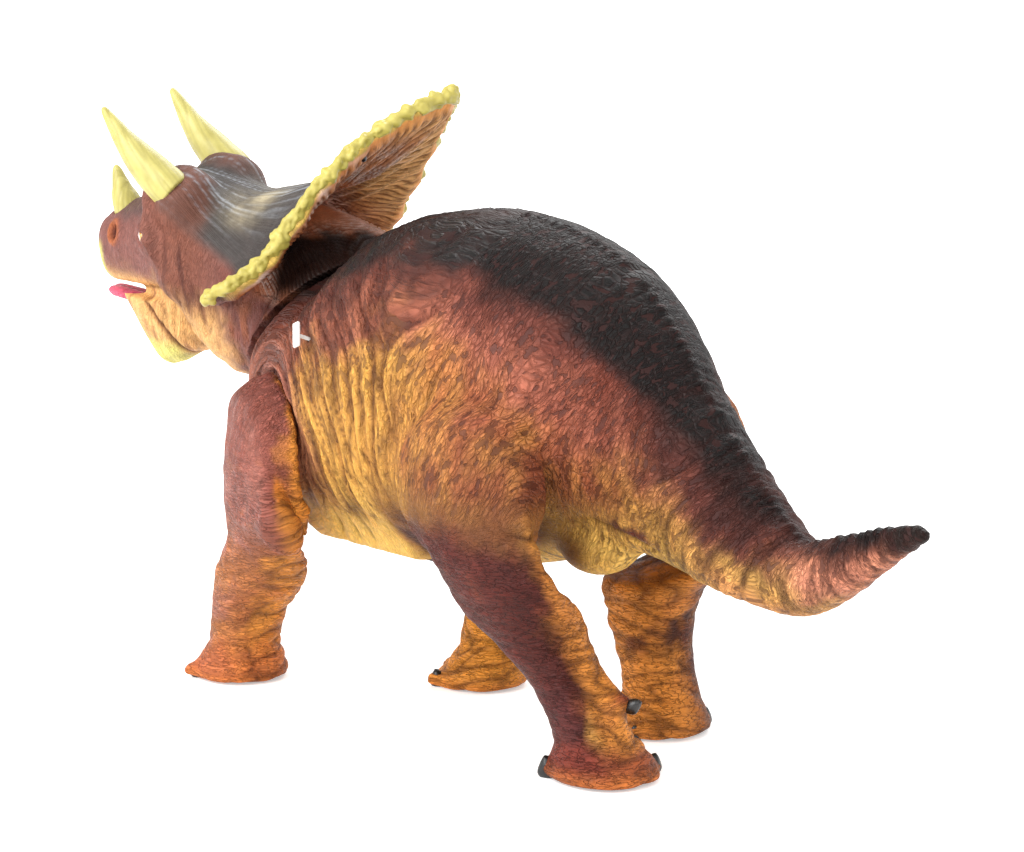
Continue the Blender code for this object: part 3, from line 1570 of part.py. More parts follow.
def main():
    """Build the whole figure."""
    clear_scene()
    skin = material("skin", "brick", 0.55)
    head_skin = material("head_skin", "orange", 0.55)
    horn_vinyl = material("horn_vinyl", "horn", 0.5)
    black_plastic = material("black_plastic", "black", 0.4)
    items = [make_torso(skin)]
    for name, side, stride, root, shares in (
        ("front_left_leg", 1, FRONT_LEFT_STRIDE, SHOULDER_ROOT_SHARES, FRONT_LEG_SHARES),
        (
            "front_right_leg",
            -1,
            FRONT_RIGHT_STRIDE,
            SHOULDER_RIGHT_ROOT_SHARES,
            FRONT_RIGHT_LEG_SHARES,
        ),
    ):
        leg = make_leg(
            name,
            shoulder(side),
            SHOULDER_YAW,
            root,
            shares,
            FRONT_LEG_RADIUS,
            stride,
            SHOULDER_OUT,
            FRONT_CLAW_SHARES,
            skin,
        )
        place_origin(leg, shoulder(side).centre)
        items.append(leg)
    for name, side, stride, shares in (
        ("hind_left_leg", 1, HIND_LEFT_STRIDE, HIND_LEG_SHARES),
        ("hind_right_leg", -1, HIND_RIGHT_STRIDE, HIND_RIGHT_LEG_SHARES),
    ):
        items.append(
            make_leg(
                name,
                hip(side),
                HIP_YAW,
                HIP_ROOT_SHARES,
                shares,
                HIND_LEG_RADIUS,
                stride,
                HIP_OUT,
                HIND_CLAW_SHARES,
                skin,
            )
        )
    head_items = make_head(
        head_skin,
        horn_vinyl,
        material("eye", "amber", 0.1),
        material("mouth", "pink", 0.35),
    )
    for item in head_items:
        place_origin(item, NECK_CENTRE.copy())
    items += head_items
    items.append(make_tag_fastener(material("white_plastic", "white", 0.35)))
    items.append(make_cover(black_plastic))
    items.append(make_case(black_plastic))
    items.append(make_door(black_plastic))
    items += make_fasteners(material("steel", "steel", 0.3, 1.0))
    items += make_cells(material("cell_steel", "steel", 0.25, 1.0), material("contact", "copper", 0.35, 1.0))
    items.append(make_speaker(black_plastic))
    items += make_board(
        material("board", "green", 0.5),
        black_plastic,
        material("copper", "copper", 0.35, 1.0),
    )
    items.append(make_button(black_plastic))
    bpy.context.view_layer.update()
    settle(items)


main()
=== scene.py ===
"""The looks of a large soft vinyl horned dinosaur toy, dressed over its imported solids.

Each skin starts as the solids' own surface, closed, remeshed and smoothed. Rules that follow the
animal's form then sculpt its folds, wrinkles and pleats and lay its airbrushed paint. Numbers in
the rules are places and sizes in millimetres, or shares of 0 to 1.
"""

import json
import logging
import math
from dataclasses import dataclass
from enum import Enum
from itertools import pairwise, product

import bmesh
import bpy
import numpy as np
from mathutils import Matrix, Vector

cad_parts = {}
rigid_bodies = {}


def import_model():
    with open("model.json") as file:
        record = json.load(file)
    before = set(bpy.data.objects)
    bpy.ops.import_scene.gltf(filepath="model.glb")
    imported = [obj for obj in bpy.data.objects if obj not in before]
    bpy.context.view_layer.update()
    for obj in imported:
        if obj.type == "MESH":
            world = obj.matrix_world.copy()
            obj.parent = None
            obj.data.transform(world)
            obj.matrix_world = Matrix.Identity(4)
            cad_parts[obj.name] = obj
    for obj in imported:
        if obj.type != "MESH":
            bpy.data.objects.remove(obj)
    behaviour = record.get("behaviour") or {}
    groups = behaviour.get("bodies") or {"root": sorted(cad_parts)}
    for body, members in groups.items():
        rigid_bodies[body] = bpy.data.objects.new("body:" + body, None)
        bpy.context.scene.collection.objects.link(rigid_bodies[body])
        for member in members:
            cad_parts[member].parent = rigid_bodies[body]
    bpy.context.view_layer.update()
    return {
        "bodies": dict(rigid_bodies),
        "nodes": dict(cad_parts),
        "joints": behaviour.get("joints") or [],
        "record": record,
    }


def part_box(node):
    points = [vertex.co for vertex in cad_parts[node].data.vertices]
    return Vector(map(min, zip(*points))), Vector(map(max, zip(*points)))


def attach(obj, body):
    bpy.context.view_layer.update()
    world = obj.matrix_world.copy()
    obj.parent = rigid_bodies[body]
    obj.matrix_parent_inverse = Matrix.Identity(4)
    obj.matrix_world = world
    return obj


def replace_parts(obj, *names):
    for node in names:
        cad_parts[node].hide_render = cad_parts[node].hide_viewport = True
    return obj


MM = 0.001
LOG = logging.getLogger("dinosaur")
WHITE = (1.0, 1.0, 1.0, 1.0)

Array = np.ndarray
Mesh = bpy.types.Mesh
Material = bpy.types.Material
Socket = bpy.types.NodeSocket
Shape = bmesh.types.BMesh


class Rider(Enum):
    """The bodies that pieces ride on."""

    TORSO = "torso"
    HEAD = "head"
    LEFT_FORELEG = "left_foreleg"
    RIGHT_FORELEG = "right_foreleg"


class Side(Enum):
    """The figure's two sides, as the sign of Y."""

    LEFT = 1
    RIGHT = -1


def linear(code: str) -> Array:
    """Turn a six-digit colour code into linear red, green and blue."""
    shares = np.array([int(code[at : at + 2], 16) for at in (0, 2, 4)]) / 255.0
    return np.where(shares <= 0.04045, shares / 12.92, ((shares + 0.055) / 1.055) ** 2.4)


def rise(low: float, high: float, value: Array) -> Array:
    """Rise smoothly from 0 at low to 1 at high."""
    share = np.clip((value - low) / (high - low), 0.0, 1.0)
    return share * share * (3.0 - 2.0 * share)


def near(value: Array, middle: float, reach: float) -> Array:
    """Return a bell that is 1 at the middle and has faded at the reach."""
    return np.exp(-(((value - middle) / reach) ** 2) * 2.0)


def stack(*columns: Array) -> Array:
    """Put the columns side by side, a row for each point."""
    return np.stack(columns, axis=1)


class Grain:
    """Seeded gradient noise for arrays of points."""

    SLOTS = 256
    GAIN = 1.6
    FOLD_GAIN = 1.7

    def __init__(self, seed: int) -> None:
        """Draw the tables of one pattern."""
        draw = np.random.default_rng(seed)
        self.table = draw.permutation(self.SLOTS)
        slopes = draw.normal(size=(self.SLOTS, 3))
        self.slopes = slopes / np.linalg.norm(slopes, axis=1, keepdims=True)

    def _slot(self, corner: Array) -> Array:
        """Return the table slot of each lattice corner."""
        wrap = self.SLOTS - 1
        first = self.table[corner[:, 0] & wrap]
        second = self.table[(first + corner[:, 1]) & wrap]
        return self.table[(second + corner[:, 2]) & wrap]

    def wave(self, points: Array) -> Array:
        """Return smooth noise of about -1 to 1, for places in units of the pattern's size."""
        base = np.floor(points).astype(int)
        inside = points - base
        fade = inside**3 * (inside * (inside * 6.0 - 15.0) + 10.0)
        total = np.zeros(len(points))
        for corner in product((0, 1), repeat=3):
            step = np.array(corner)
            weight = np.prod(np.where(step, fade, 1.0 - fade), axis=1)
            slope = self.slopes[self._slot(base + step)]
            total += weight * np.einsum("ij,ij->i", slope, inside - step)
        return total * self.GAIN

    def creases(self, points: Array, sharpness: float = 0.6) -> Array:
        """Return rounded folds between sharp valleys, 0 in a valley and about 1 on a fold."""
        return np.clip(np.abs(self.wave(points)) * self.FOLD_GAIN, 0.0, 1.0) ** sharpness


class Sculpture:
    """The places, normals and paint of a skin's points while it is worked on, in millimetres."""

    def __init__(self, points: Array, normals: Array) -> None:
        """Start with no relief, no creases and bare vinyl."""
        count = len(points)
        self.points = points
        self.normals = normals
        self.height = np.zeros(count)
        self.crease = np.zeros(count)
        self.paint = np.tile(linear("E0A060"), (count, 1))
        self.flow = points
        self.second_flow = points
        self.tune = np.tile((0.5, 0.5, 0.0), (count, 1))

    def carve(self, relief: Array, depth: float, mask: Array | float = 1.0) -> None:
        """Add relief of 0 to 1 as grooves of a depth below the skin, and note its creases."""
        self.height += (relief - 1.0) * depth * mask
        self.crease = np.maximum(self.crease, (1.0 - relief) * mask)

    def swell(self, amount: Array) -> None:
        """Raise the skin by an amount."""
        self.height += amount

    def spray(self, code: str, mask: Array) -> None:
        """Lay one airbrushed colour where the mask says."""
        share = np.clip(mask, 0.0, 1.0)[:, None]
        self.paint = self.paint * (1.0 - share) + linear(code) * share

    def darken(self, mask: Array) -> None:
        """Darken the paint by a share, as painted shade in grooves and folds."""
        self.paint = self.paint * (1.0 - np.clip(mask, 0.0, 1.0))[:, None]

    def dab(self, code: str, place: tuple[float, float, float], reach: float) -> None:
        """Lay a soft ragged dab of paint at a place, wider than it is high."""
        away = np.linalg.norm((self.points - np.array(place)) * (0.8, 0.8, 1.25), axis=1)
        ragged = Grain(29).wave(self.points / 4.0) * reach * 0.5
        self.spray(code, rise(reach, reach * 0.2, away + ragged) * 0.9)

    def comb(self, flow: Array, second: Array, pits: Array, lines: Array, share: Array) -> None:
        """Say how the fine skin pattern lies.

        Both flows are places shortened along the folds, and the share says how far the second one
        takes over. Pits and lines say how strong the dark pits and the fine lines are.
        """
        self.flow = flow
        self.second_flow = second
        self.tune = stack(pits, lines, share)

    def store(self, mesh: Mesh) -> None:
        """Write the relief, creases, paint and pattern directions to a mesh."""
        move_points(mesh, self.points + self.normals * self.height[:, None])
        crease = mesh.attributes.new("crease", "FLOAT", "POINT")
        crease.data.foreach_set("value", np.clip(self.crease, 0, 1).astype(np.float32))
        paint = mesh.attributes.new("paint", "FLOAT_COLOR", "POINT")
        alpha = np.ones((len(self.paint), 1))
        paint.data.foreach_set("color", np.hstack([self.paint, alpha]).astype(np.float32).ravel())
        for name in ("flow", "second_flow", "tune"):
            layer = mesh.attributes.new(name, "FLOAT_VECTOR", "POINT")
            layer.data.foreach_set("vector", getattr(self, name).astype(np.float32).ravel())
        mesh.update()


@dataclass(frozen=True)
class Remesh:
    """How a skin is made: mesh size, smoothing passes, and the share of triangles kept at the end."""

    voxel: float
    passes: int
    kept: float = 1.0


def mesh_arrays(mesh: Mesh) -> tuple[Array, Array]:
    """Return a mesh's points in millimetres and its edges, as arrays."""
    points = np.zeros(len(mesh.vertices) * 3)
    mesh.vertices.foreach_get("co", points)
    edges = np.zeros(len(mesh.edges) * 2, dtype=np.int32)
    mesh.edges.foreach_get("vertices", edges)
    return points.reshape(-1, 3) / MM, edges.reshape(-1, 2)


def mesh_normals(mesh: Mesh) -> Array:
    """Return the normals of a mesh's points."""
    normals = np.zeros(len(mesh.vertices) * 3)
    mesh.vertex_normals.foreach_get("vector", normals)
    return normals.reshape(-1, 3)


def move_points(mesh: Mesh, points: Array) -> None:
    """Move a mesh's points to places in millimetres."""
    mesh.vertices.foreach_set("co", (points * MM).astype(np.float32).ravel())
    mesh.update()


def relax(points: Array, edges: Array, passes: int, share: Array | float = 0.5) -> Array:
    """Move each point by a share towards its neighbours' middle, several times."""
    count = len(points)
    degree = np.bincount(edges.ravel(), minlength=count)[:, None]
    share = np.asarray(share).reshape(-1, 1)
    first, second = edges.T
    for _ in range(passes):
        total = stack(
            *(
                np.bincount(first, axis[second], count) + np.bincount(second, axis[first], count)
                for axis in points.T
            )
        )
        points = points + share * (total / np.maximum(degree, 1) - points)
    return points


def linked(name: str, data: bpy.types.ID) -> bpy.types.Object:
    """Return a new object of the scene."""
    item = bpy.data.objects.new(name, data)
    bpy.context.scene.collection.objects.link(item)
    return item


def evaluated_mesh(item: bpy.types.Object, name: str) -> Mesh:
    """Return the plain mesh that an object's modifiers make, and remove the object."""
    depsgraph = bpy.context.evaluated_depsgraph_get()
    mesh = bpy.data.meshes.new_from_object(item.evaluated_get(depsgraph))
    mesh.name = name
    bpy.data.objects.remove(item)
    return mesh


def modified(name: str, mesh: Mesh, kind: str, **settings: object) -> Mesh:
    """Return the plain mesh that one modifier makes of a mesh."""
    item = linked(name, mesh)
    modifier = item.modifiers.new(kind.lower(), kind)
    for key, value in settings.items():
        setattr(modifier, key, value)
    return evaluated_mesh(item, name)


def joined_shape(meshes: list[Mesh]) -> Shape:
    """Return one shape with copies of meshes in it."""
    shape = bmesh.new()
    for mesh in meshes:
        shape.from_mesh(mesh)
    return shape


def wrapped(name: str, shape: Shape, voxel: float) -> Mesh:
    """Return one closed outer skin around a shape."""
    mesh = bpy.data.meshes.new("solids")
    shape.to_mesh(mesh)
    shape.free()
    return modified(name, mesh, "REMESH", mode="VOXEL", voxel_size=voxel)


def joint_of(frame: dict, name: str) -> dict:
    """Return a joint of the frame."""
    return next(joint for joint in frame["joints"] if joint["name"] == name)


@dataclass(frozen=True)
class Stopper:
    """A closed cylinder on a joint's axis, which stops an opening before a remesh, in metres."""

    joint: str
    back: float
    radius: float
    length: float
    side: Side = Side.LEFT

    def build(self, frame: dict) -> Shape:
        """Return the cylinder, a little behind the joint's place."""
        joint = joint_of(frame, self.joint)
        axis = Vector(joint["axis"]) * self.side.value
        turn = Vector((0.0, 0.0, 1.0)).rotation_difference(axis).to_matrix().to_4x4()
        place = Matrix.Translation(Vector(joint["pos_m"]) - axis * self.back)
        shape = bmesh.new()
        bmesh.ops.create_cone(
            shape,
            cap_ends=True,
            segments=24,
            radius1=self.radius,
            radius2=self.radius,
            depth=self.length,
            matrix=place @ turn,
        )
        return shape


def largest_part(mesh: Mesh) -> None:
    """Drop every loose part of a mesh but the one with the most points."""
    points, edges = mesh_arrays(mesh)
    label = np.arange(len(points))
    while True:
        low = np.minimum(label[edges[:, 0]], label[edges[:, 1]])
        fresh = label.copy()
        np.minimum.at(fresh, edges[:, 0], low)
        np.minimum.at(fresh, edges[:, 1], low)
        fresh = fresh[fresh]
        if np.array_equal(fresh, label):
            break
        label = fresh
    keep = label == np.bincount(label).argmax()
    shape = joined_shape([mesh])
    doomed = [vertex for vertex in shape.verts if not keep[vertex.index]]
    bmesh.ops.delete(shape, geom=doomed, context="VERTS")
    shape.to_mesh(mesh)
    shape.free()


def show(name: str, mesh: Mesh, rider: Rider) -> bpy.types.Object:
    """Put a finished mesh in the scene, on its body and with its material slot."""
    item = linked(name, mesh)
    mesh.shade_smooth()
    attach(item, rider.value)
    LOG.info("%s: %d faces on %s", name, len(mesh.polygons), rider.value)
    return item


class Tree:
    """A short way to write a node tree."""

    def __init__(self, tree: bpy.types.NodeTree) -> None:
        """Take the tree that nodes are added to."""
        self.tree = tree

    def add(self, kind: str, links: dict | None = None, **settings: object) -> bpy.types.Node:
        """Add a node with its own settings, and give its inputs values or sockets."""
        node = self.tree.nodes.new(kind)
        for key, value in settings.items():
            setattr(node, key, value)
        for key, value in (links or {}).items():
            self.join(value, node.inputs[key])
        return node

    def join(self, value: object, socket: Socket) -> None:
        """Set a socket to a value, or link another socket to it."""
        if isinstance(value, Socket):
            self.tree.links.new(value, socket)
        else:
            socket.default_value = value

    def math(self, how: str, first: object, second: object = 0.0) -> Socket:
        """Return the result of a sum on one or two values."""
        return self.add("ShaderNodeMath", {0: first, 1: second}, operation=how).outputs["Value"]

    def times(self, first: object, second: object) -> Socket:
        """Return a product."""
        return self.math("MULTIPLY", first, second)

    def most(self, first: object, second: object) -> Socket:
        """Return the larger value."""
        return self.math("MAXIMUM", first, second)

    def vector(self, how: str, first: object, second: object) -> Socket:
        """Return the result of a sum on two vectors."""
        return self.add("ShaderNodeVectorMath", {0: first, 1: second}, operation=how).outputs["Vector"]

    def merged(self, x: object, y: object, z: object) -> Socket:
        """Return a vector of three values."""
        return self.add("ShaderNodeCombineXYZ", {0: x, 1: y, 2: z}).outputs[0]

    def parts(self, vector: Socket) -> list[Socket]:
        """Return a vector's three values."""
        return list(self.add("ShaderNodeSeparateXYZ", {0: vector}).outputs)

    def span(self, value: Socket, low: float, high: float, to_low: float, to_high: float) -> Socket:
        """Map a range of values to another, clamped."""
        links = {"Value": value, 1: low, 2: high, 3: to_low, 4: to_high}
        return self.add("ShaderNodeMapRange", links).outputs["Result"]

    def seen(self) -> Socket:
        """Return 1 for what the camera sees, also by mirror or glass, and 0 for what only lights."""
        path = self.add("ShaderNodeLightPath").outputs
        straight = self.most(path["Is Camera Ray"], path["Is Glossy Ray"])
        return self.most(straight, path["Is Transmission Ray"])


class GrowTree(Tree):
    """A Geometry Nodes tree with named inputs, whose result becomes a plain mesh."""

    def __init__(self, name: str) -> None:
        """Start a tree with its geometry input and output."""
        super().__init__(bpy.data.node_groups.new(name, "GeometryNodeTree"))
        self.sockets = self.tree.interface
        for way in ("INPUT", "OUTPUT"):
            self.sockets.new_socket("Geometry", in_out=way, socket_type="NodeSocketGeometry")
        self.start = self.tree.nodes.new("NodeGroupInput")
        self.end = self.tree.nodes.new("NodeGroupOutput")
        self.known: dict[str, str] = {}

    def size(self, name: str, kind: str = "NodeSocketFloat") -> Socket:
        """Add a named input and return its socket."""
        made = self.sockets.new_socket(name, in_out="INPUT", socket_type=kind)
        self.known[name] = made.identifier
        return self.start.outputs[name]

    def field(self, name: str) -> Socket:
        """Read a named attribute of the points."""
        return self.add("GeometryNodeInputNamedAttribute", {"Name": name}, data_type="FLOAT").outputs[0]

    def placed(self, points: Socket, shape: Socket, turn: Socket, size: Socket) -> Socket:
        """Return a real copy of a shape at each point."""
        links = {"Points": points, "Instance": shape, "Rotation": turn, "Scale": size}
        copies = self.add("GeometryNodeInstanceOnPoints", links).outputs[0]
        return self.add("GeometryNodeRealizeInstances", {"Geometry": copies}).outputs[0]

    def moved(self, shape: Socket, place: Socket) -> Socket:
        """Return a shape whose points are set to new places."""
        return self.add("GeometryNodeSetPosition", {"Geometry": shape, "Position": place}).outputs[0]

    def grow(self, name: str, seeds: Mesh, geometry: Socket, finish: Material, **sizes: object) -> Mesh:
        """End the tree with geometry in its material, and run it on seed points with the sizes."""
        links = {"Geometry": geometry, "Material": finish}
        self.join(self.add("GeometryNodeSetMaterial", links).outputs[0], self.end.inputs[0])
        item = linked(name, seeds)
        modifier = item.modifiers.new(name, "NODES")
        modifier.node_group = self.tree
        for key, value in sizes.items():
            modifier[self.known[key]] = value
        return evaluated_mesh(item, name)


class NodeTree(Tree):
    """A material's node tree."""

    def __init__(self, name: str) -> None:
        """Start a material with its Principled shader."""
        self.material = bpy.data.materials.new(name)
        self.material.use_nodes = True
        super().__init__(self.material.node_tree)
        self.shader = self.tree.nodes["Principled BSDF"]

    def attribute(self, name: str, output: str) -> Socket:
        """Read an attribute of the mesh."""
        return self.add("ShaderNodeAttribute", attribute_name=name).outputs[output]

    def place(self) -> Socket:
        """Return object coordinates."""
        return self.add("ShaderNodeTexCoord").outputs["Object"]

    def noise(self, scale: float, detail: float = 4.0, rough: float = 0.6, at: object = None) -> Socket:
        """Return noise, on object coordinates unless others are given."""
        links = {"Vector": at or self.place(), "Scale": scale, "Detail": detail, "Roughness": rough}
        return self.add("ShaderNodeTexNoise", links).outputs["Fac"]

    def mix(self, share: object, first: object, second: object, how: str = "MIX") -> Socket:
        """Mix two colours."""
        links = {"Factor": share, 6: first, 7: second}
        return self.add("ShaderNodeMix", links, data_type="RGBA", blend_type=how).outputs[2]

    def bump(self, height: Socket, strength: float, distance: float, under: Socket | None = None) -> Socket:
        """Return a normal bumped by a height, over another bump if given."""
        links = {"Height": height, "Strength": strength, "Distance": distance}
        if under is not None:
            links["Normal"] = under
        return self.add("ShaderNodeBump", links).outputs["Normal"]

    def finish(self, **inputs: object) -> Material:
        """Set the shader's inputs, with underscores for spaces, and return the material."""
        for key, value in inputs.items():
            self.join(value, self.shader.inputs[key.replace("_", " ")])
        return self.material


def rgba(code: str) -> tuple[float, float, float, float]:
    """Return a colour code as a linear colour for a socket."""
    return (*(float(part) for part in linear(code)), 1.0)


@dataclass(frozen=True)
class SkinFinish:
    """Airbrushed satin vinyl skin with pits, lines and washed creases that follow the folds."""

    name: str
    wash: str = "30110C"
    wash_share: float = 0.9
    pebble: float = 0.80
    pit: float = 0.62
    line: float = 0.95
    relief: float = 0.0010
    roughness: float = 0.52

    def pattern(self, nodes: NodeTree, flow: Socket) -> list[Socket]:
        """Return the pebbles' grooves, the dark pits and the fine lines along one direction."""
        links = {"Vector": flow, "Scale": 0.22, "Detail": 2.0}
        drift = nodes.add("ShaderNodeTexNoise", links).outputs["Color"]
        bent = nodes.vector("ADD", flow, nodes.vector("MULTIPLY", drift, (1.9, 1.9, 1.9)))
        links = {"Vector": bent, "Scale": self.pebble}
        cells = nodes.add("ShaderNodeTexVoronoi", links, feature="DISTANCE_TO_EDGE")
        groove = nodes.span(cells.outputs["Distance"], 0.0, 0.18, 1.0, 0.0)
        pit = nodes.span(nodes.noise(self.pit, 2.0, 0.5, bent), 0.55, 0.62, 0.0, 1.0)
        middle = nodes.math("SUBTRACT", nodes.noise(self.line, 2.5, 0.55, bent), 0.5)
        line = nodes.span(nodes.math("ABSOLUTE", middle), 0.0, 0.045, 1.0, 0.0)
        return [groove, pit, line]

    def build(self) -> Material:
        """Return the material."""
        nodes = NodeTree(self.name)
        crease = nodes.attribute("crease", "Fac")
        pits, lines, share = nodes.parts(nodes.attribute("tune", "Vector"))
        first = self.pattern(nodes, nodes.attribute("flow", "Vector"))
        second = self.pattern(nodes, nodes.attribute("second_flow", "Vector"))
        groove, pit, line = (
            nodes.add("ShaderNodeMix", {0: share, 2: one, 3: other}).outputs[0]
            for one, other in zip(first, second)
        )
        groove = nodes.times(groove, nodes.span(pits, 0.0, 1.0, 0.35, 0.8))
        dark = nodes.most(nodes.times(pit, pits), nodes.times(nodes.times(line, lines), 0.72))
        dark = nodes.most(dark, nodes.times(groove, 0.55))
        mottle = nodes.span(nodes.noise(380.0), 0.3, 0.75, 0.80, 1.16)
        shade = nodes.add("ShaderNodeCombineColor", {0: mottle, 1: mottle, 2: mottle})
        coloured = nodes.mix(1.0, nodes.attribute("paint", "Color"), shade.outputs["Color"], "MULTIPLY")
        deep = nodes.most(nodes.span(crease, 0.45, 1.0, 0.0, 1.0), dark)
        stain = nodes.mix(0.78, coloured, rgba(self.wash))
        washed = nodes.mix(nodes.times(deep, self.wash_share), coloured, stain)
        low = nodes.math("SUBTRACT", 1.0, nodes.most(dark, nodes.times(groove, 0.8)))
        pores = nodes.bump(nodes.noise(1700.0), 0.30, 0.0004)
        fine = nodes.bump(low, 0.8, self.relief, pores)
        gloss = nodes.span(nodes.noise(240.0), 0.3, 0.7, self.roughness - 0.07, self.roughness + 0.1)
        return nodes.finish(Base_Color=washed, Roughness=gloss, Normal=fine, Specular_IOR_Level=0.2)


@dataclass(frozen=True)
class HornFinish:
    """Pale horn vinyl with olive wash in its striations."""

    name: str = "pale_horn"
    pale: str = "CDC478"
    deep: str = "A99D45"
    wash: str = "6F6424"

    def build(self) -> Material:
        """Return the material."""
        nodes = NodeTree(self.name)
        crease = nodes.attribute("crease", "Fac")
        tone = nodes.mix(nodes.noise(180.0, 3.0), rgba(self.pale), rgba(self.deep))
        washed = nodes.mix(nodes.span(crease, 0.55, 1.0, 0.0, 0.3), tone, rgba(self.wash))
        fine = nodes.bump(nodes.noise(1400.0), 0.25, 0.0003)
        return nodes.finish(Base_Color=washed, Roughness=0.42, Normal=fine, Coat_Weight=0.1)


@dataclass(frozen=True)
class PlainFinish:
    """Moulded or metal surface with a little colour variation, wear and grain."""

    name: str
    colour: str
    second: str
    roughness: float
    grain: float
    metallic: float = 0.0
    coat: float = 0.0
    relief: float = 0.0001

    def build(self) -> Material:
        """Return the material."""
        nodes = NodeTree(self.name)
        share = nodes.span(nodes.noise(self.grain * 0.3), 0.35, 0.7, 0.0, 1.0)
        wear = nodes.noise(self.grain * 0.5)
        return nodes.finish(
            Base_Color=nodes.mix(share, rgba(self.colour), rgba(self.second)),
            Roughness=nodes.span(wear, 0.3, 0.7, self.roughness - 0.06, self.roughness + 0.08),
            Metallic=self.metallic,
            Coat_Weight=self.coat,
            Normal=nodes.bump(nodes.noise(self.grain, 5.0), 0.3, self.relief),
        )


class HeadPlace:
    """Where the head is, so that shares of it can be measured along its own axes."""

    YAW = math.radians(21.0)
    ROLL = math.radians(5.0)
    REACH = 51.3
    LIFT = 44.2

    def __init__(self, neck: Vector) -> None:
        """Take the neck joint's place in metres."""
        yaw = Matrix.Rotation(self.YAW, 3, "Z")
        self.axes = np.array((yaw @ Matrix.Rotation(-self.ROLL, 3, "X")).transposed())
        self.middle = np.array(neck) / MM + np.array(yaw @ Vector((self.REACH, 0.0, self.LIFT)))

    def local(self, points: Array) -> Array:
        """Measure points along the head's own axes: ahead, left and up from between the horns."""
        return (points - self.middle) @ self.axes.T

    def world(self, points: Array) -> Array:
        """Return points given along the head's own axes in the row frame."""
        return points @ self.axes + self.middle

    def eye(self, name: str) -> Material:
        """Return a glossy amber eye with an upright slit, measured along the head's own axes."""
        nodes = NodeTree(f"{name}_gloss")
        low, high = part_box(name)
        amber, edge, black = (rgba(code) for code in ("E9A21C", "7A3A0C", "050302"))
        off = nodes.vector("SUBTRACT", nodes.place(), tuple((low + high) / 2))
        ahead = nodes.add("ShaderNodeVectorMath", {0: off, 1: tuple(self.axes[0])}, operation="DOT_PRODUCT")
        gap = nodes.math("ABSOLUTE", ahead.outputs["Value"])
        iris = nodes.mix(nodes.span(gap, 0.0007, 0.0022, 0.0, 1.0), amber, edge)
        flecked = nodes.mix(nodes.span(nodes.noise(2600.0), 0.5, 0.7, 0.0, 0.5), iris, edge)
        slit = nodes.mix(nodes.span(gap, 0.00022, 0.00034, 1.0, 0.0), flecked, black)
        return nodes.finish(Base_Color=slit, Roughness=0.08, Coat_Weight=0.8, Coat_Roughness=0.03)


class Skin:
    """A skin that is remeshed from solids, sculpted and painted."""

    STOPPERS: tuple[Stopper, ...] = ()

    def __init__(self, frame: dict, name: str, nodes: list[str], how: Remesh) -> None:
        """Take the frame, the piece's name, the solids it covers, and its mesh sizes."""
        self.frame = frame
        self.name = name
        self.nodes = nodes
        self.how = how

    def plugs(self) -> list[Shape]:
        """Return the shapes that stop its openings."""
        return [stopper.build(self.frame) for stopper in self.STOPPERS]

    def keep(self, points: Array) -> Array | float:
        """Return how far each point moves in a smoothing pass."""
        return 0.5

    def sculpt(self, work: Sculpture) -> None:
        """Carve and paint the skin."""

    def build(self, rider: Rider, slot: str, finish: Material) -> None:
        """Make the skin's mesh and show it on its body, in place of its solids."""
        joined = joined_shape([self.frame["nodes"][node].data for node in self.nodes])
        bmesh.ops.remove_doubles(joined, verts=joined.verts[:], dist=MM / 100)
        spare = bpy.data.meshes.new("plug")
        for plug in self.plugs():
            plug.to_mesh(spare)
            plug.free()
            joined.from_mesh(spare)
        mesh = wrapped(self.name, joined, self.how.voxel)
        largest_part(mesh)
        points, edges = mesh_arrays(mesh)
        points = relax(points, edges, self.how.passes, self.keep(points))
        move_points(mesh, points)
        work = Sculpture(points, mesh_normals(mesh))
        self.sculpt(work)
        work.store(mesh)
        if self.how.kept < 1.0:
            mesh = modified(self.name, mesh, "DECIMATE", ratio=self.how.kept)
        mesh.materials.append(finish)
        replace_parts(show(self.name, mesh, rider), *self.nodes)


@dataclass(frozen=True)
class BodyAxis:
    """The line through trunk and tail along which the transverse folds are spaced."""

    stations: tuple[tuple[float, float], ...] = (
        (60.0, 112.0),
        (0.0, 112.0),
        (-45.0, 102.0),
        (-85.0, 86.0),
        (-118.0, 66.0),
        (-140.0, 64.0),
        (-166.0, 80.0),
    )

    def along(self, x: Array, z: Array) -> Array:
        """Return how far back along the line each point lies, in millimetres."""
        total = np.zeros(len(x))
        weights = np.zeros(len(x))
        run = 0.0
        for (x0, z0), (x1, z1) in pairwise(self.stations):
            step_x, step_z = x1 - x0, z1 - z0
            length = math.hypot(step_x, step_z)
            share = np.clip(((x - x0) * step_x + (z - z0) * step_z) / length**2, 0, 1)
            gap = np.hypot(x - x0 - share * step_x, z - z0 - share * step_z)
            weight = (gap + 4.0) ** -5.0
            total += weight * (run + share * length)
            weights += weight
            run += length
        return total / weights


@dataclass(frozen=True)
class TrunkPlan:
    """Places on the trunk and tail that its folds and paint follow, in millimetres."""

    shoulder: tuple[float, float] = (60.0, 80.0)
    tail_start: float = -62.0
    groin: float = 58.0
    axis: BodyAxis = BodyAxis()
    # Lower edge of the charcoal back; at the front it comes down over the shoulder under the frill as painted
    # shade.
    dark_x: tuple[float, ...] = (
        -160, -149, -138, -122, -110, -97, -87, -77, -65, -53, -40, -25, -7, 14, 27, 41, 62, 80
    )
    dark_z: tuple[float, ...] = (
        79, 76, 70, 73, 79, 88, 98, 108, 117, 125, 130, 134, 138, 140, 132, 125, 119, 116
    )
    rosy_x: tuple[float, ...] = (-160, -138, -122, -110, -97, -80, -62, -45, -25, -5, 20, 34, 46, 60, 80)
    rosy_z: tuple[float, ...] = (74, 62, 62, 68, 76, 88, 92, 104, 116, 121, 114, 110, 92, 62, 50)
    vent: tuple[float, float, float] = (-51.0, 6.5, 62.6)
    lip: float = 0.8


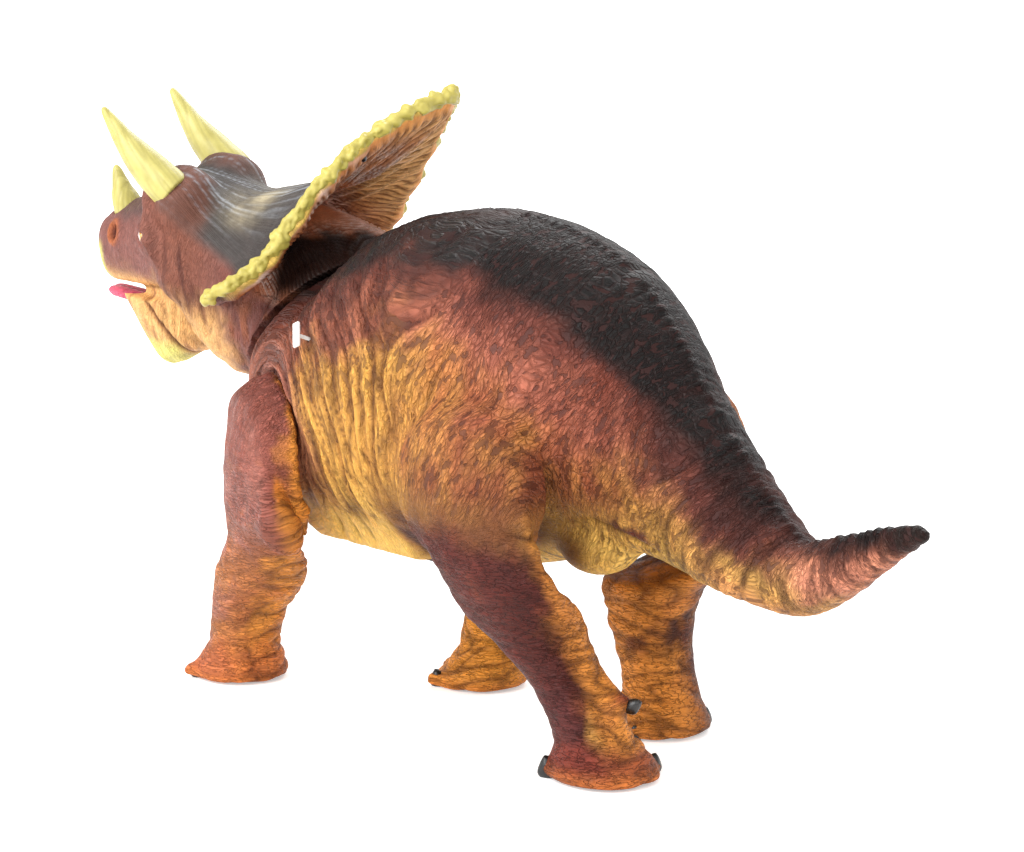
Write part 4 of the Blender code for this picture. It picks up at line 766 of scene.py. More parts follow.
class Trunk(Skin):
    """The trunk, tail and hind legs in one painted skin."""

    SPUR = (-73.0, 19.0, 22.5)
    STOPPERS = (
        Stopper("head_turn", 0.006, 0.013, 0.003),
        Stopper("left_foreleg_swing", 0.005, 0.013, 0.003),
        Stopper("right_foreleg_swing", 0.005, 0.013, 0.003, Side.RIGHT),
    )

    def __init__(self, frame: dict) -> None:
        """Take the frame."""
        nodes = ["torso_shell", "hind_left_leg", "hind_right_leg"]
        super().__init__(frame, "trunk_skin", nodes, Remesh(0.00105, 30, 0.5))
        self.plan = TrunkPlan()

    def plugs(self) -> list[Shape]:
        """Stop the neck, the front leg sockets and the belly opening."""
        vent = bmesh.new()
        bmesh.ops.create_uvsphere(vent, u_segments=32, v_segments=20, radius=1.0)
        spread = Matrix.Diagonal((0.0125, 0.0125, 0.0095, 1.0))
        vent.transform(Matrix.Translation(Vector(self.plan.vent) * MM) @ spread)
        low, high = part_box("sound_unit_cover")
        block = bmesh.new()
        bmesh.ops.create_cube(block, size=1.0)
        size = high - low
        middle = (low + high) / 2
        middle.z = high.z + 0.0012
        block.transform(
            Matrix.Translation(middle) @ Matrix.Diagonal((size.x * 1.04, size.y * 1.04, 0.0016, 1.0))
        )
        return [*super().plugs(), vent, block]

    def masks(self, work: Sculpture) -> tuple[Array, ...]:
        """Return how far each point belongs to the legs, to the tail and to the charcoal back."""
        x, y, z = work.points.T
        cloud = Grain(21).wave(work.points / 14) + 0.5 * Grain(22).wave(work.points / 5)
        reach = np.abs(y) + 0.25 * np.clip(80 - z, 0, 80)
        leg = rise(self.plan.groin + 24, self.plan.groin + 4, z + cloud * 5) * rise(18, 26, reach)
        leg = leg * rise(-100, -92, x) * rise(12, 4, x)
        leg = np.maximum(leg, rise(48, 44, z))
        tail = rise(self.plan.tail_start, self.plan.tail_start - 26, x) * (1 - leg)
        border = np.interp(x, self.plan.dark_x, self.plan.dark_z)
        back = rise(-4.5, 5.5, z - border + cloud * 4.5) * (1 - leg)
        return leg, tail, back, cloud

    def sculpt(self, work: Sculpture) -> None:
        """Carve folds round the shoulder, rings round the tail and wrinkles across the legs."""
        place = work.points
        x, y, z = place.T
        side_x, side_z = self.plan.shoulder
        warp = Grain(3).wave(place / 22) * 4
        leg, tail, back, cloud = self.masks(work)
        away = np.hypot(x - side_x, (z - side_z) * 0.85)
        along = self.plan.axis.along(x, z)
        bent = rise(-25, 15, x) * rise(5, 17, np.abs(y))
        across = away * bent + along * (1 - bent)
        flank = (1 - leg) * (1 - tail) * (1 - 0.8 * back)
        front = rise(-24, 0, x)
        grain = stack((across + warp) / 4.8, z / 50, y / 50)
        folds = Grain(5).creases(grain, 0.62)
        shown = flank * (0.14 + 0.86 * front) * rise(54, 70, z)
        work.carve(folds, 1.9, shown)
        fine = stack((across + warp) / 2.6, z / 26, y / 26)
        thin = Grain(7).creases(fine, 0.8)
        work.carve(thin, 0.6, (1 - leg) * (0.45 + 0.55 * front) * rise(50, 66, z))
        side = rise(18, 30, np.abs(y)) * (1 - leg)
        for ring, deep in ((27, 1.5), (33.5, 1), (40, 0.7)):
            gap = away - ring + warp * 0.4
            groove = near(gap, 0, 1.7) * rise(104, 92, z) * rise(46, 56, z)
            work.carve(1 - groove, deep, side * rise(62, 48, x))
        long_fold = near(x + 24 - (118 - z) * 0.34 + warp * 0.4, 0, 2.2)
        work.carve(1 - long_fold, 1.1, side * rise(120, 108, z) * rise(56, 66, z))
        rings = stack((along + warp * 0.5) / 3.2, z / 30, y / 24)
        ringed = np.maximum(tail, back * 0.5) * (1 - leg)
        rings = Grain(13).creases(rings, 0.7)
        work.carve(rings, 0.7, ringed)
        spine = near(y - np.interp(x, (-166, -60, 60), (-4, -1, 0)), 0, 3)
        beads = 0.55 + 0.45 * np.sin(along * 2 * np.pi / 3.6)
        up = rise(0.3, 0.8, work.normals[:, 2] + 0.35 * tail)
        work.swell(1.1 * spine * beads * up * rise(30, -30, x) * (1 - leg))
        vent_x, vent_y, vent_z = self.plan.vent
        bulge = np.exp(-(((x - vent_x) / 11) ** 2 + ((y - vent_y) / 12) ** 2 + ((z - vent_z) / 9) ** 2))
        lips = stack(x / 30, y / 30, (z + x * 0.5) / 3.4)
        work.carve(Grain(19).creases(lips), 0.7, rise(0.25, 0.6, bulge))
        crack = near(z - 70.5 - (x + 63) * 0.32, 0, 1.8) * rise(-84, -78, x) * rise(-56, -62, x)
        work.carve(1 - crack, 1.4, rise(6, 12, y))
        low, high = (np.array(corner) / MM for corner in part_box("sound_unit_cover"))
        gap = np.maximum(np.abs(x - (low[0] + high[0]) / 2), 0) - (high[0] - low[0]) / 2
        gap = np.maximum(gap, np.abs(y - (low[1] + high[1]) / 2) - (high[1] - low[1]) / 2)
        under = rise(-0.15, -0.6, work.normals[:, 2]) * rise(15, 2.5, gap) * rise(-1.5, -0.2, gap)
        work.swell(np.clip(z - low[2] - self.plan.lip, 0, 4.5) * under * (1 - leg))
        spur = np.linalg.norm(work.points - self.SPUR, axis=1)
        work.swell(4.2 * near(spur, 0, 6.5))
        bands = stack(x / 15, y / 15, (z + warp) / 4.3)
        inner = rise(0.35, -0.35, work.normals[:, 1] * np.sign(y) + 0.6 * work.normals[:, 0])
        work.carve(Grain(15).creases(bands, 0.8), 0.85, leg * (0.45 + 0.55 * inner))
        for height in (38, 11.5):
            knee = near(z - height + warp * 0.5 + (x + 60) * 0.12, 0, 1.7)
            work.carve(1 - knee * 0.55, 0.8, leg * (0.4 + 0.6 * inner))
        flow = stack(across, z * 0.42, y * 0.42)
        second = stack(x * 0.26, y * 0.26, z)
        hip = rise(8, -22, x) * (1 - leg)
        upper = rise(92, 112, z)
        pits = np.clip(0.3 + 0.7 * np.maximum(np.maximum(hip, back), upper), 0, 1) * (1 - 0.5 * leg)
        lines = np.clip(0.35 + 0.65 * leg + 0.4 * tail, 0, 1)
        work.comb(flow, second, pits, lines, leg)
        self.paint(work, leg, tail, back, cloud)
        # Painted shade: darker paint in the fold valleys, the tail's ring grooves and the legs' wrinkle
        # valleys.
        work.spray("6B3120", (1 - folds) ** 1.6 * shown * 0.85)
        work.spray("5A2A1C", (1 - thin) ** 1.6 * (1 - leg) * (1 - back) * rise(52, 66, z) * 0.6)
        work.darken(0.45 * (1 - rings) * ringed)
        work.darken(0.35 * (1 - Grain(15).creases(bands, 0.8)) * leg)

    def paint(
        self, work: Sculpture, leg: Array, tail: Array, back: Array, cloud: Array
    ) -> None:
        """Spray the orange flank, the rosy band, the charcoal back and the mauve legs."""
        x, y, z = work.points.T
        wisps = Grain(23).wave(work.points / np.array([5, 9, 12]))
        work.spray("F6B555", np.ones(len(x)))
        # Painted light: the lower flank is sprayed paler, standing in for light bounced up from below.
        work.spray("FFCC66", rise(84, 58, z) * (1 - leg) * 0.96)
        work.spray("E0903F", rise(0.2, 0.9, wisps) * 0.45)
        hip = rise(2, -34, x + cloud * 6) * rise(70, 84, z) * (1 - tail)
        work.spray("B5653F", hip * (0.78 + 0.3 * wisps))
        edge = np.interp(x, self.plan.rosy_x, self.plan.rosy_z)
        work.spray("B56853", rise(-9, 9, z - edge + cloud * 9) * (1 - leg) * 0.94)
        border = np.interp(x, self.plan.dark_x, self.plan.dark_z)
        work.spray("5C2A26", rise(-15, -1, z - border + cloud * 6) * (1 - leg) * 0.8)
        # Painted light: the tail's underside is sprayed pale, as if lit from below.
        under = rise(-10, -20, z - border + cloud * 3)
        work.spray("FFB068", tail * under * rise(-84, -108, x) * 0.95)
        loin = near(x + 72, 0, 26) * rise(64, 78, z) * (1 - back)
        work.spray("7E3A28", loin * (0.6 + 0.4 * wisps))
        work.spray("5A2A24", tail * rise(-14, -4, z - border + cloud * 5) * rise(-128, -112, x) * 0.6)
        work.spray("FFA482", tail * near(z - border + cloud * 3, -7, 9) * rise(-118, -132, x) * 0.9)
        # Charcoal back paint; its low front part over the shoulder, under the frill, is painted shade.
        work.spray("0D0A09", back)
        work.spray("1E1A18", back * rise(0, 0.7, wisps) * 0.6)
        work.spray("17130F", rise(-149, -157, x) * rise(71, 77, z + cloud * 2))
        out = work.normals[:, 1] * np.sign(y) * 0.9 + work.normals[:, 0] * 0.55
        work.spray("E8933F", leg * rise(0.2, -0.25, out))
        work.spray("461711", leg * rise(-0.34, 0.26, out + cloud * 0.42 + wisps * 0.2))
        # Painted highlight: a lighter mauve where the hind legs face most outward.
        work.spray("7E3A2E", leg * rise(0.45, 0.95, out) * (0.4 + 0.5 * cloud))
        work.spray("C66F45", leg * rise(0.25, 0.8, wisps) * 0.3)
        work.spray("5A2B2C", leg * near(z, 21, 12) * rise(0.1, 0.6, out) * (y > 0) * 0.75)
        work.spray("963F2D", leg * rise(15, 7, z + cloud * 4) * (y > 0) * 0.8)
        work.spray("E2823A", leg * rise(7, 1.5, z) * 0.7)
        work.spray("EC943E", leg * (y < 0) * rise(26, 8, z + cloud * 5) * 0.6)
        work.dab("4B241F", (-50, -27, 31), 10)
        work.dab("7A3B26", (-40, -18, 27), 5)
        work.dab("54251F", (-70, 16, 70), 6)
        work.dab("6B2E24", (-77, 15, 69), 5)
        work.dab("8A3C2A", self.SPUR, 5)
        seam = np.hypot(x - 60.2, z - 76)
        shoulder = rise(38, 22, seam + cloud * 5) * rise(28, 36, np.abs(y)) * rise(56, 74, z)
        work.spray("CC8674", shoulder * 0.75)
        thigh = rise(100, 72, z + cloud * 10) * near(x, -44, 34) * rise(24, 32, np.abs(y))
        work.spray("60251C", thigh * 0.75)


class Foreleg(Skin):
    """One front leg."""

    def __init__(self, frame: dict, side: Side) -> None:
        """Take the frame and the leg's side."""
        word = side.name.lower()
        node = f"front_{word}_leg"
        super().__init__(frame, f"front_{word}_leg_skin", [node], Remesh(0.00085, 26))
        self.side = side

    def plugs(self) -> list[Shape]:
        """Stop the bore of the leg's plug."""
        name = f"{self.side.name.lower()}_foreleg_swing"
        return [Stopper(name, 0.002, 0.008, 0.004, self.side).build(self.frame)]

    def sculpt(self, work: Sculpture) -> None:
        """Carve wrinkles across the leg and paint it mauve outside and orange inside."""
        x, y, z = work.points.T
        warp = Grain(33).wave(work.points / 15) * 4
        out = work.normals[:, 1] * self.side.value * 0.9 + work.normals[:, 0] * 0.6
        bands = stack(x / 14, y / 14, (z + warp) / 4)
        low = rise(92, 66, z)
        work.carve(Grain(31).creases(bands, 0.8), 0.8, (0.35 + 0.65 * rise(0.6, -0.2, out)) * low)
        folds = stack((x + z * 0.5) / 4.6, y / 20, (z - x * 0.5) / 24)
        work.carve(Grain(32).creases(folds), 0.8, 1 - low)
        for height in (40, 13):
            work.carve(1 - near(z - height + warp * 0.5, 0, 1.6) * 0.4, 0.8)
        behind = rise(0, 0.7, -work.normals[:, 0] + 0.3 * work.normals[:, 1] * self.side.value)
        work.swell(6 * near(z - 59, 0, 12) * behind)
        flow = stack(x * 0.26, y * 0.26, z)
        upper = stack(x + z * 0.5, y * 0.42, (z - x * 0.5) * 0.42)
        pits = 0.45 + 0.3 * (1 - low)
        work.comb(flow, upper, pits, np.full(len(x), 0.95), 1 - low)
        cloud = Grain(37).wave(work.points / 12) + 0.4 * Grain(38).wave(work.points / 4)
        work.spray("F39C42", np.ones(len(x)))
        work.spray("D06A38", rise(-0.1, 0.7, cloud) * 0.35)
        wisps = Grain(39).wave(work.points / np.array([7, 7, 2.6]))
        mauve = rise(-0.34, 0.30, out + cloud * 0.4 + wisps * 0.22 + (z - 60) * 0.006)
        work.spray("9A5648", mauve * (0.5 + 0.5 * rise(30, 66, z)))
        # Painted highlight: a paler pink where the leg faces most outward.
        work.spray("BC7868", rise(0.4, 1, out) * rise(-0.2, 0.7, cloud) * 0.7)
        work.spray("D87E44", rise(0.2, 0.8, wisps) * 0.35 * low)
        # The right leg's lower part is orange, sprayed lighter still as painted light to lift the shade it
        # stands in.
        if self.side is Side.RIGHT:
            work.spray("FFA840", rise(40, 12, z + cloud * 6) * 0.9)
        # Painted shade in the wrinkle valleys.
        work.darken(0.35 * (1 - Grain(31).creases(bands, 0.8)) * low)
        work.spray("84483E", rise(90, 100, z + cloud * 6) * 0.6)
        red = 0.6 if self.side is Side.LEFT else 0.1
        work.spray("CC6A42", rise(17, 6, z + cloud * 4) * red)
        work.spray("E5853C", rise(5, 1, z) * 0.6)


class Head(Skin):
    """The head, neck, frill and jaws."""

    PLEATS = 124
    STOPPERS = (Stopper("head_turn", 0.001, 0.008, 0.004),)
    PLEAT_MIDDLE = (-24.0, 3.0)
    FAN_MIDDLE = (12.0, 0.0)

    def __init__(self, frame: dict, place: HeadPlace) -> None:
        """Take the frame and the head's place."""
        super().__init__(frame, "head_skin", ["head_shell", "lower_jaw"], Remesh(0.0008, 14, 0.93))
        self.place = place
        self.rim: Array = np.zeros((0, 3))

    def keep(self, points: Array) -> Array:
        """Smooth the thin frill less than the face."""
        forward = self.place.local(points)[:, 0]
        return 0.12 + 0.38 * rise(-34.0, -22.0, forward)

    def fan(self, local: Array, middle: tuple[float, float] = FAN_MIDDLE) -> tuple[Array, Array]:
        """Return each point's bearing and distance from a middle of the frill's fan."""
        ahead, left, up = local.T
        rearward = -(ahead + 20.0) * 0.717 + (up + 30.0) * 0.697 + middle[0]
        return np.arctan2(left - middle[1], rearward), np.hypot(left - middle[1], rearward)

    def find_rim(self, local: Array, bearing: Array, radius: Array) -> Array:
        """Find the frill's outer edge, keep it as a line, and return how far inside it points lie."""
        steps = np.linspace(-1.16, 1.16, 94)
        slot = np.digitize(bearing, steps)
        best = np.array([radius[slot == at].max(initial=0.0) for at in range(1, len(steps))])
        middles = (steps[1:] + steps[:-1]) / 2
        line = []
        for at, reach in enumerate(best):
            edge = (slot == at + 1) & (radius > reach - 1.4)
            line.append(local[edge].mean(axis=0))
        self.rim = self.place.world(np.array(line) + np.array((0.7, 0.0, 0.72)) * 1.1)
        return np.interp(bearing, middles, best) - radius

    def nostril(self, local: Array) -> Array:
        """Return each point's distance from a nostril's middle, 1 on its edge."""
        ahead, left, up = local.T
        gaps = ((ahead - 27.5) / 2.2, (np.abs(left) - 10.5) / 4.0, (up + 19.5) / 2.9)
        return np.linalg.norm(np.stack(gaps), axis=0)

    def sculpt(self, work: Sculpture) -> None:
        """Pleat the frill, wrinkle the face and lay out the fine pattern."""
        local = self.place.local(work.points)
        ahead, left, up = local.T
        bearing, radius = self.fan(local)
        inside = self.find_rim(local, bearing, radius)
        facing = (work.normals @ self.place.axes.T) @ np.array((0.697, 0, 0.717))
        neck = rise(27, 23, np.hypot(left, up + 44)) * rise(-34, -40, ahead)
        neck = np.maximum(neck, rise(-29, -35, up))
        frill = rise(-22, -32, ahead + 0.3 * np.abs(left)) * (1 - neck)
        depth = ahead * 0.697 + up * 0.717
        below = up + 5 + 0.45 * (ahead + 20) + 0.013 * left**2
        hidden = rise(-8.5, -10.5, below) * rise(21, 17, np.abs(left)) * rise(-34, -38, ahead)
        rear = np.maximum(rise(0.15, -0.25, facing), rise(-45.4, -47, depth))
        rear = np.maximum(rear, hidden) * frill
        turn, reach = self.fan(local, self.PLEAT_MIDDLE)
        wobble = Grain(41).wave(local / 12) * 0.05 + Grain(42).wave(local / 40) * 0.08
        wide = 0.5 + 0.5 * np.cos((turn + wobble) * self.PLEATS)
        fade = rise(2.5, 7, inside) * rise(6, 16, reach)
        work.carve(wide**0.7, 0.8, rear * fade)
        face = 1 - frill
        throat = rise(-30, -40, up + ahead * 0.15)
        stretch = stack((ahead + up * 0.25) / 4.2, left / 16, up / 22)
        work.carve(Grain(43).creases(stretch), 0.75, face * (0.25 + 0.75 * throat) * rise(22, 8, ahead))
        brow = near(ahead - 4.6 - (up + 16) * 0.2, 0, 3)
        brow *= rise(-29, -22, up) * rise(-3, -8, up)
        work.swell(3.2 * brow * rise(10, 15, np.abs(left)))
        socket = np.linalg.norm(np.stack([ahead - 8.5, np.abs(left) - 17.7, up + 17.9]), axis=0)
        lids = near(socket, 4.4, 2.6) * (0.45 + 0.55 * rise(0, 1.6, np.abs(up + 17.9)))
        work.swell(2.1 * lids)
        for side in Side:
            stalk = np.linalg.norm(local - np.array((-2.5, side.value * 17.8, -1)), axis=1)
            work.swell(6.5 * rise(16, 7, stalk))
        stalk = np.linalg.norm(local - np.array((28, 0, -14.5)), axis=1)
        work.swell(1.5 * rise(8, 4, stalk))
        hole = self.nostril(local)
        work.swell(-1.5 * rise(1, 0.4, hole))
        work.swell(0.8 * near(hole, 1.25, 0.45))
        jugal = np.linalg.norm(np.stack([ahead - 1, np.abs(left) - 23, up + 32]), axis=0)
        work.swell(2.4 * rise(9, 1, jugal))
        lip = near(up + 36 + (ahead - 10) * 0.12, 0, 1.5) * rise(0, 6, ahead)
        work.carve(1 - lip, 0.6, face)
        jaw_line = near(up + 38 + (14 - ahead) * 1.9, 0, 2.6) * rise(-36, -42, up)
        work.carve(1 - jaw_line, 0.8, face * rise(0, 4, ahead))
        flow = stack(ahead + up * 0.25, left * 0.35, up * 0.30)
        plain = stack(bearing * 60, radius * 0.10, ahead * 0.05)
        fanned = stack(turn * 34, reach * 0.10, ahead * 0.05)
        streak = np.where((rear > 0.5)[:, None], fanned, plain)
        crown = rise(-12, -6, up - 0.6 * ahead) * rise(10, 2, ahead)
        share = np.clip(np.maximum(frill, crown), 0, 1)
        pits = 0.22 * face * (1 - crown)
        lines = 0.62 * face * (1 - 0.6 * crown) + 0.55 * frill * (1 - rear) + rear * fade
        work.comb(flow, streak, pits, lines, share)
        self.paint(work, local, inside, rear, frill, crown)

    def paint(
        self,
        work: Sculpture,
        local: Array,
        inside: Array,
        rear: Array,
        frill: Array,
        crown: Array,
    ) -> None:
        """Spray the face, the dark crown, the pleated frill and its pale rim."""
        ahead, left, up = local.T
        bearing, radius = self.fan(local)
        cloud = Grain(45).wave(local / 8) + 0.5 * Grain(46).wave(local / 3)
        strand = Grain(47).wave(stack(ahead / 2.4, left / 8, up / 16))
        work.spray("85554A", np.ones(len(ahead)))
        work.spray("A4674F", near(ahead + 7, 0, 12) * rise(-38, -30, up) * 0.7)
        low = rise(-29, -40, up - 0.15 * ahead + cloud * 3)
        work.spray("F0B874", low * rise(-29, -13, ahead + cloud * 4))
        work.spray("8A4630", low * rise(0.15, 0.7, strand) * 0.6)
        cheek = near(ahead + 8, 0, 16) * rise(-48, -36, up)
        work.spray("6E3E30", cheek * 0.7)
        work.spray("47211A", cheek * rise(-0.05, 0.45, strand) * 0.7)
        nape = (1 - frill) * rise(-20, -30, ahead + cloud * 3)
        work.spray("7A463C", nape * 0.92)
        work.spray("A5623F", nape * rise(0.1, 0.6, strand) * rise(-30, -38, up) * 0.6)
        work.spray("21100D", rise(-36, -48, ahead + cloud * 3) * (1 - frill) * rise(-46, -32, up) * 0.9)
        snout = rise(4, 12, ahead) * rise(-36, -30, up)
        work.spray("84544C", snout * 0.8)
        work.spray("4F4140", snout * rise(-17, -11, up + cloud * 2) * 0.7)
        hole = self.nostril(local)
        work.spray("B8683C", rise(1.7, 1.2, hole) * 0.8)
        work.spray("4A1812", rise(1.15, 0.5, hole))
        dark = rise(-4, 4, up - ahead + 3 + cloud * 2.5) * rise(6, -2, ahead)
        dark = np.maximum(dark * frill, crown * rise(8, 2, ahead)) * (1 - rear) * rise(-34, -29, up)
        work.spray("454240", dark * 0.97)
        beyond = np.hypot(ahead + 3, np.abs(left) - 18)
        work.spray("74493B", dark * rise(15, 8, beyond + cloud * 2) * 0.85)
        comb = Grain(48).wave(stack(bearing * 24, radius / 26, ahead / 60))
        silver = rise(0.12, 0.62, comb) * dark * rise(26, 12, np.abs(left))
        work.spray("AEB4BC", silver * 0.75)
        cream = near(ahead + 29, 0, 13) * near(np.abs(left) - 11, 0, 10) * rise(-18, -10, up)
        work.spray("C9BA98", cream * (1 - rear) * (0.55 + 0.5 * cloud))
        work.spray("CC7C52", rear)
        work.spray("E09C6A", rear * rise(56, 84, radius) * 0.8)
        right = np.maximum(rise(2, -20, left + cloud * 3), rise(82, 98, radius) * 0.8)
        work.spray("FFC680", rear * right * rise(40, 58, radius) * 0.95)
        work.spray("D98436", rear * rise(9, 3, inside) * 0.6)
        turn, reach = self.fan(local, self.PLEAT_MIDDLE)
        # Painted highlight along the pleat ridges of the frill's rear, and painted shade in the pleat
        # valleys.
        ridge = np.clip(1 - work.crease, 0, 1) ** 2
        glint = rise(-0.35, 0.45, Grain(49).wave(local / 9))
        pale = rise(9, 16, reach) * rise(58, 36, reach) * rise(-26, -8, left)
        work.spray("FBE2D6", rear * ridge**2 * glint * pale * 0.95)
        work.spray("6E3018", rear * (1 - ridge) * 0.5)
        curl = near(reach, 16, 6) * near(left + 7, 0, 9)
        work.spray("E0B3A5", rear * curl * 0.7)
        beside = rise(-4, 3, left) * rise(39, 31, left)
        # Painted shade: near-black in the recess where the frill's rear meets the neck.
        frill_root_shade = rise(-13, -17, up + cloud * 1.5) * beside * rise(-40, -46, ahead)
        work.spray("100807", frill_root_shade * rise(-36, -27, up) * 0.97)
        work.spray("C8BA58", frill * (1 - rear) * rise(3.6, 2.2, inside + cloud * 0.5))
        work.spray("D9B55A", rear * rise(2.4, 1, inside + cloud * 0.5))
        work.spray("E9DF7C", rise(-52, -57, up) * rise(2, 8, ahead))
        work.spray("E9DF7C", rise(33, 36, ahead) * rise(-22, -27, up))
        line = near(up + 38 + (14 - ahead) * 1.9, 0, 2.8) * rise(-36, -42, up)
        work.spray("6E3220", line * rise(0, 4, ahead) * 0.85)


class Horn(Skin):
    """A horn with fine rings and long striations."""

    def __init__(self, frame: dict, node: str) -> None:
        """Take the frame and the horn's node."""
        super().__init__(frame, f"{node}_skin", [node], Remesh(0.00042, 24))

    def sculpt(self, work: Sculpture) -> None:
        """Carve striations along the horn."""
        low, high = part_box(self.nodes[0])
        middle = np.array((low + high) / 2) / MM
        centred = work.points - middle
        _, _, rows = np.linalg.svd(centred, full_matrices=False)
        own = centred @ rows.T
        angle = np.arctan2(own[:, 2], own[:, 1])
        ridges = stack(own[:, 0] / 16, np.cos(angle) * 3.2, np.sin(angle) * 3.2)
        work.carve(Grain(51).creases(ridges, 1.2), 0.16)
        rings = stack(own[:, 0] / 5, own[:, 1] / 14, own[:, 2] / 14)
        work.carve(Grain(52).creases(rings, 1.2), 0.12, 0.6)
        share = (own[:, 0] - own[:, 0].min()) / np.ptp(own[:, 0])
        size = np.hypot(own[:, 1], own[:, 2])
        if size[share > 0.9].mean() > size[share < 0.1].mean():
            share = 1 - share
        work.swell(0.8 * near(share, 0.5, 0.4) + 0.9 * rise(0.6, 0.98, share))


class Tongue(Skin):
    """The tongue, smooth with a groove along its middle."""

    def __init__(self, frame: dict, place: HeadPlace) -> None:
        """Take the frame and the head's place."""
        super().__init__(frame, "tongue_skin", ["tongue"], Remesh(0.0006, 10))
        self.place = place

    def sculpt(self, work: Sculpture) -> None:
        """Press the middle groove and redden the root."""
        local = self.place.local(work.points)
        groove = near(local[:, 1], 0, 1.2) * rise(0.2, 0.7, work.normals[:, 2])
        work.carve(1 - groove, 0.5)
        work.spray("D8617A", np.ones(len(local)))
        work.spray("8E2438", rise(26, 14, local[:, 0]))


@dataclass(frozen=True)
class RimStuds:
    """A row of fused pale lumps along the frill's edge, with sizes in metres."""

    name: str
    count: int
    length: float
    width: float
    seed: int

    SMALLEST = (0.6, 0.65, 0.65)
    LARGEST = (1.3, 1.3, 1.3)

    def build(self, rim: Array, finish: Material) -> Mesh:
        """Grow a lump at even steps along the rim's points."""
        seeds = bpy.data.meshes.new("rim_line")
        seeds.from_pydata([tuple(point) for point in rim * MM], list(pairwise(range(len(rim)))), [])
        tree = GrowTree(self.name)
        count, seed = (tree.size(word, "NodeSocketInt") for word in ("Count", "Seed"))
        length, width = (tree.size(word) for word in ("Length", "Width"))
        line = tree.add("GeometryNodeMeshToCurve", {0: tree.start.outputs["Geometry"]}).outputs[0]
        even = tree.add("GeometryNodeResampleCurve", {"Curve": line, "Count": count}).outputs[0]
        way = tree.add("GeometryNodeInputTangent").outputs[0]
        turn = tree.add("FunctionNodeAlignRotationToVector", {"Vector": way}, axis="X").outputs[0]
        links = {0: self.SMALLEST, 1: self.LARGEST, "Seed": seed}
        draw = tree.add("FunctionNodeRandomValue", links, data_type="FLOAT_VECTOR").outputs[0]
        sizes = tree.vector("MULTIPLY", tree.merged(length, width, width), draw)
        lump = tree.add("GeometryNodeMeshIcoSphere", {"Radius": 1.0, "Subdivisions": 4}).outputs[0]
        lumps = tree.placed(even, lump, turn, sizes)
        values = {"Count": self.count, "Length": self.length, "Width": self.width, "Seed": self.seed}
        return tree.grow(self.name, seeds, lumps, finish, **values)


def fuse(name: str, meshes: list[Mesh], how: Remesh, finish: Material) -> Mesh:
    """Melt several meshes of overlapping lumps into one smooth skin."""
    mesh = wrapped(name, joined_shape(meshes), how.voxel)
    points, edges = mesh_arrays(mesh)
    points = relax(points, edges, how.passes)
    ragged = Grain(53).wave(points / 2.6) * 0.8 + Grain(54).creases(points / 3.4) * 0.7 - 0.5
    move_points(mesh, points + mesh_normals(mesh) * ragged[:, None])
    mesh.materials.clear()
    mesh.materials.append(finish)
    mesh.polygons.foreach_set("material_index", np.zeros(len(mesh.polygons), dtype=np.int32))
    return mesh


@dataclass(frozen=True)
class Claw:
    """Where a claw sits, which way it points in degrees, and its size against the plain claw."""

    place: tuple[float, float, float]
    heading: float
    size: float = 1.0
    tilt: float = 12.0


CLAW_SIZE = (0.0032, 0.0027, 0.0050)
CLAW_GROUND = 0.0002


def grow_claws(name: str, claws: list[Claw], finish: Material) -> Mesh:
    """Grow a pointed hoof-like claw at each place of one foot."""
    seeds = bpy.data.meshes.new("claw_places")
    seeds.from_pydata([tuple(at * MM for at in claw.place) for claw in claws], [], [])
    for key in ("heading", "tilt", "size"):
        layer = seeds.attributes.new(key, "FLOAT", "POINT")
        for at, claw in enumerate(claws):
            value = getattr(claw, key)
            layer.data[at].value = value if key == "size" else math.radians(value)
    tree = GrowTree(name)
    ball = tree.add("GeometryNodeMeshUVSphere", {"Segments": 28, "Rings": 20, "Radius": 1.0}).outputs[0]
    x, y, z = tree.parts(tree.add("GeometryNodeInputPosition").outputs[0])
    ahead = tree.most(x, 0.0)
    slim = tree.math("SUBTRACT", 1.0, tree.times(ahead, 0.38))
    low = tree.math("SUBTRACT", 1.0, tree.times(ahead, 0.52))
    ridge = tree.times(tree.math("SINE", tree.times(y, 16.0)), 0.018)
    shaped = tree.merged(x, tree.times(y, slim), tree.math("ADD", tree.times(z, low), ridge))
    claw = tree.moved(ball, tree.vector("MULTIPLY", shaped, CLAW_SIZE))
    points = tree.add("GeometryNodeMeshToPoints", {0: tree.start.outputs["Geometry"]}).outputs[0]
    turn = tree.merged(0.0, tree.field("tilt"), tree.field("heading"))
    placed = tree.placed(points, claw, turn, tree.field("size"))
    x, y, z = tree.parts(tree.add("GeometryNodeInputPosition").outputs[0])
    grounded = tree.moved(placed, tree.merged(x, y, tree.most(z, CLAW_GROUND)))
    return tree.grow(name, seeds, grounded, finish)


@dataclass(frozen=True)
class Foot:
    """One foot's node and body, and its claws by their turn from straight ahead and their size."""

    node: str
    rider: Rider
    side: Side
    turns: tuple[tuple[float, float], ...]
    extra: tuple[Claw, ...] = ()

    SOLE = 0.3
    INSET = 0.6
    CLAW_HEIGHT = 1.8

    def claws(self, frame: dict) -> list[Claw]:
        """Return where the claws sit round the sole."""
        points, _ = mesh_arrays(frame["nodes"][self.node].data)
        sole = points[points[:, 2] < self.SOLE]
        low, high = sole.min(axis=0), sole.max(axis=0)
        middle, inside = (low + high) / 2, (high - low) / 2 - self.INSET
        made = []
        for turn, size in self.turns:
            angle = math.radians(turn) * self.side.value
            x = middle[0] + math.cos(angle) * inside[0]
            y = middle[1] + math.sin(angle) * inside[1]
            made.append(Claw((x, y, self.CLAW_HEIGHT), math.degrees(angle), size))
        return [*made, *self.extra]


def aimed(name: str, data: bpy.types.ID, place: Vector, target: Vector) -> bpy.types.Object:
    """Return a camera or lamp at a place, turned to a target."""
    item = linked(name, data)
    item.location = place
    item.rotation_euler = (target - place).to_track_quat("-Z", "Y").to_euler()
    return item


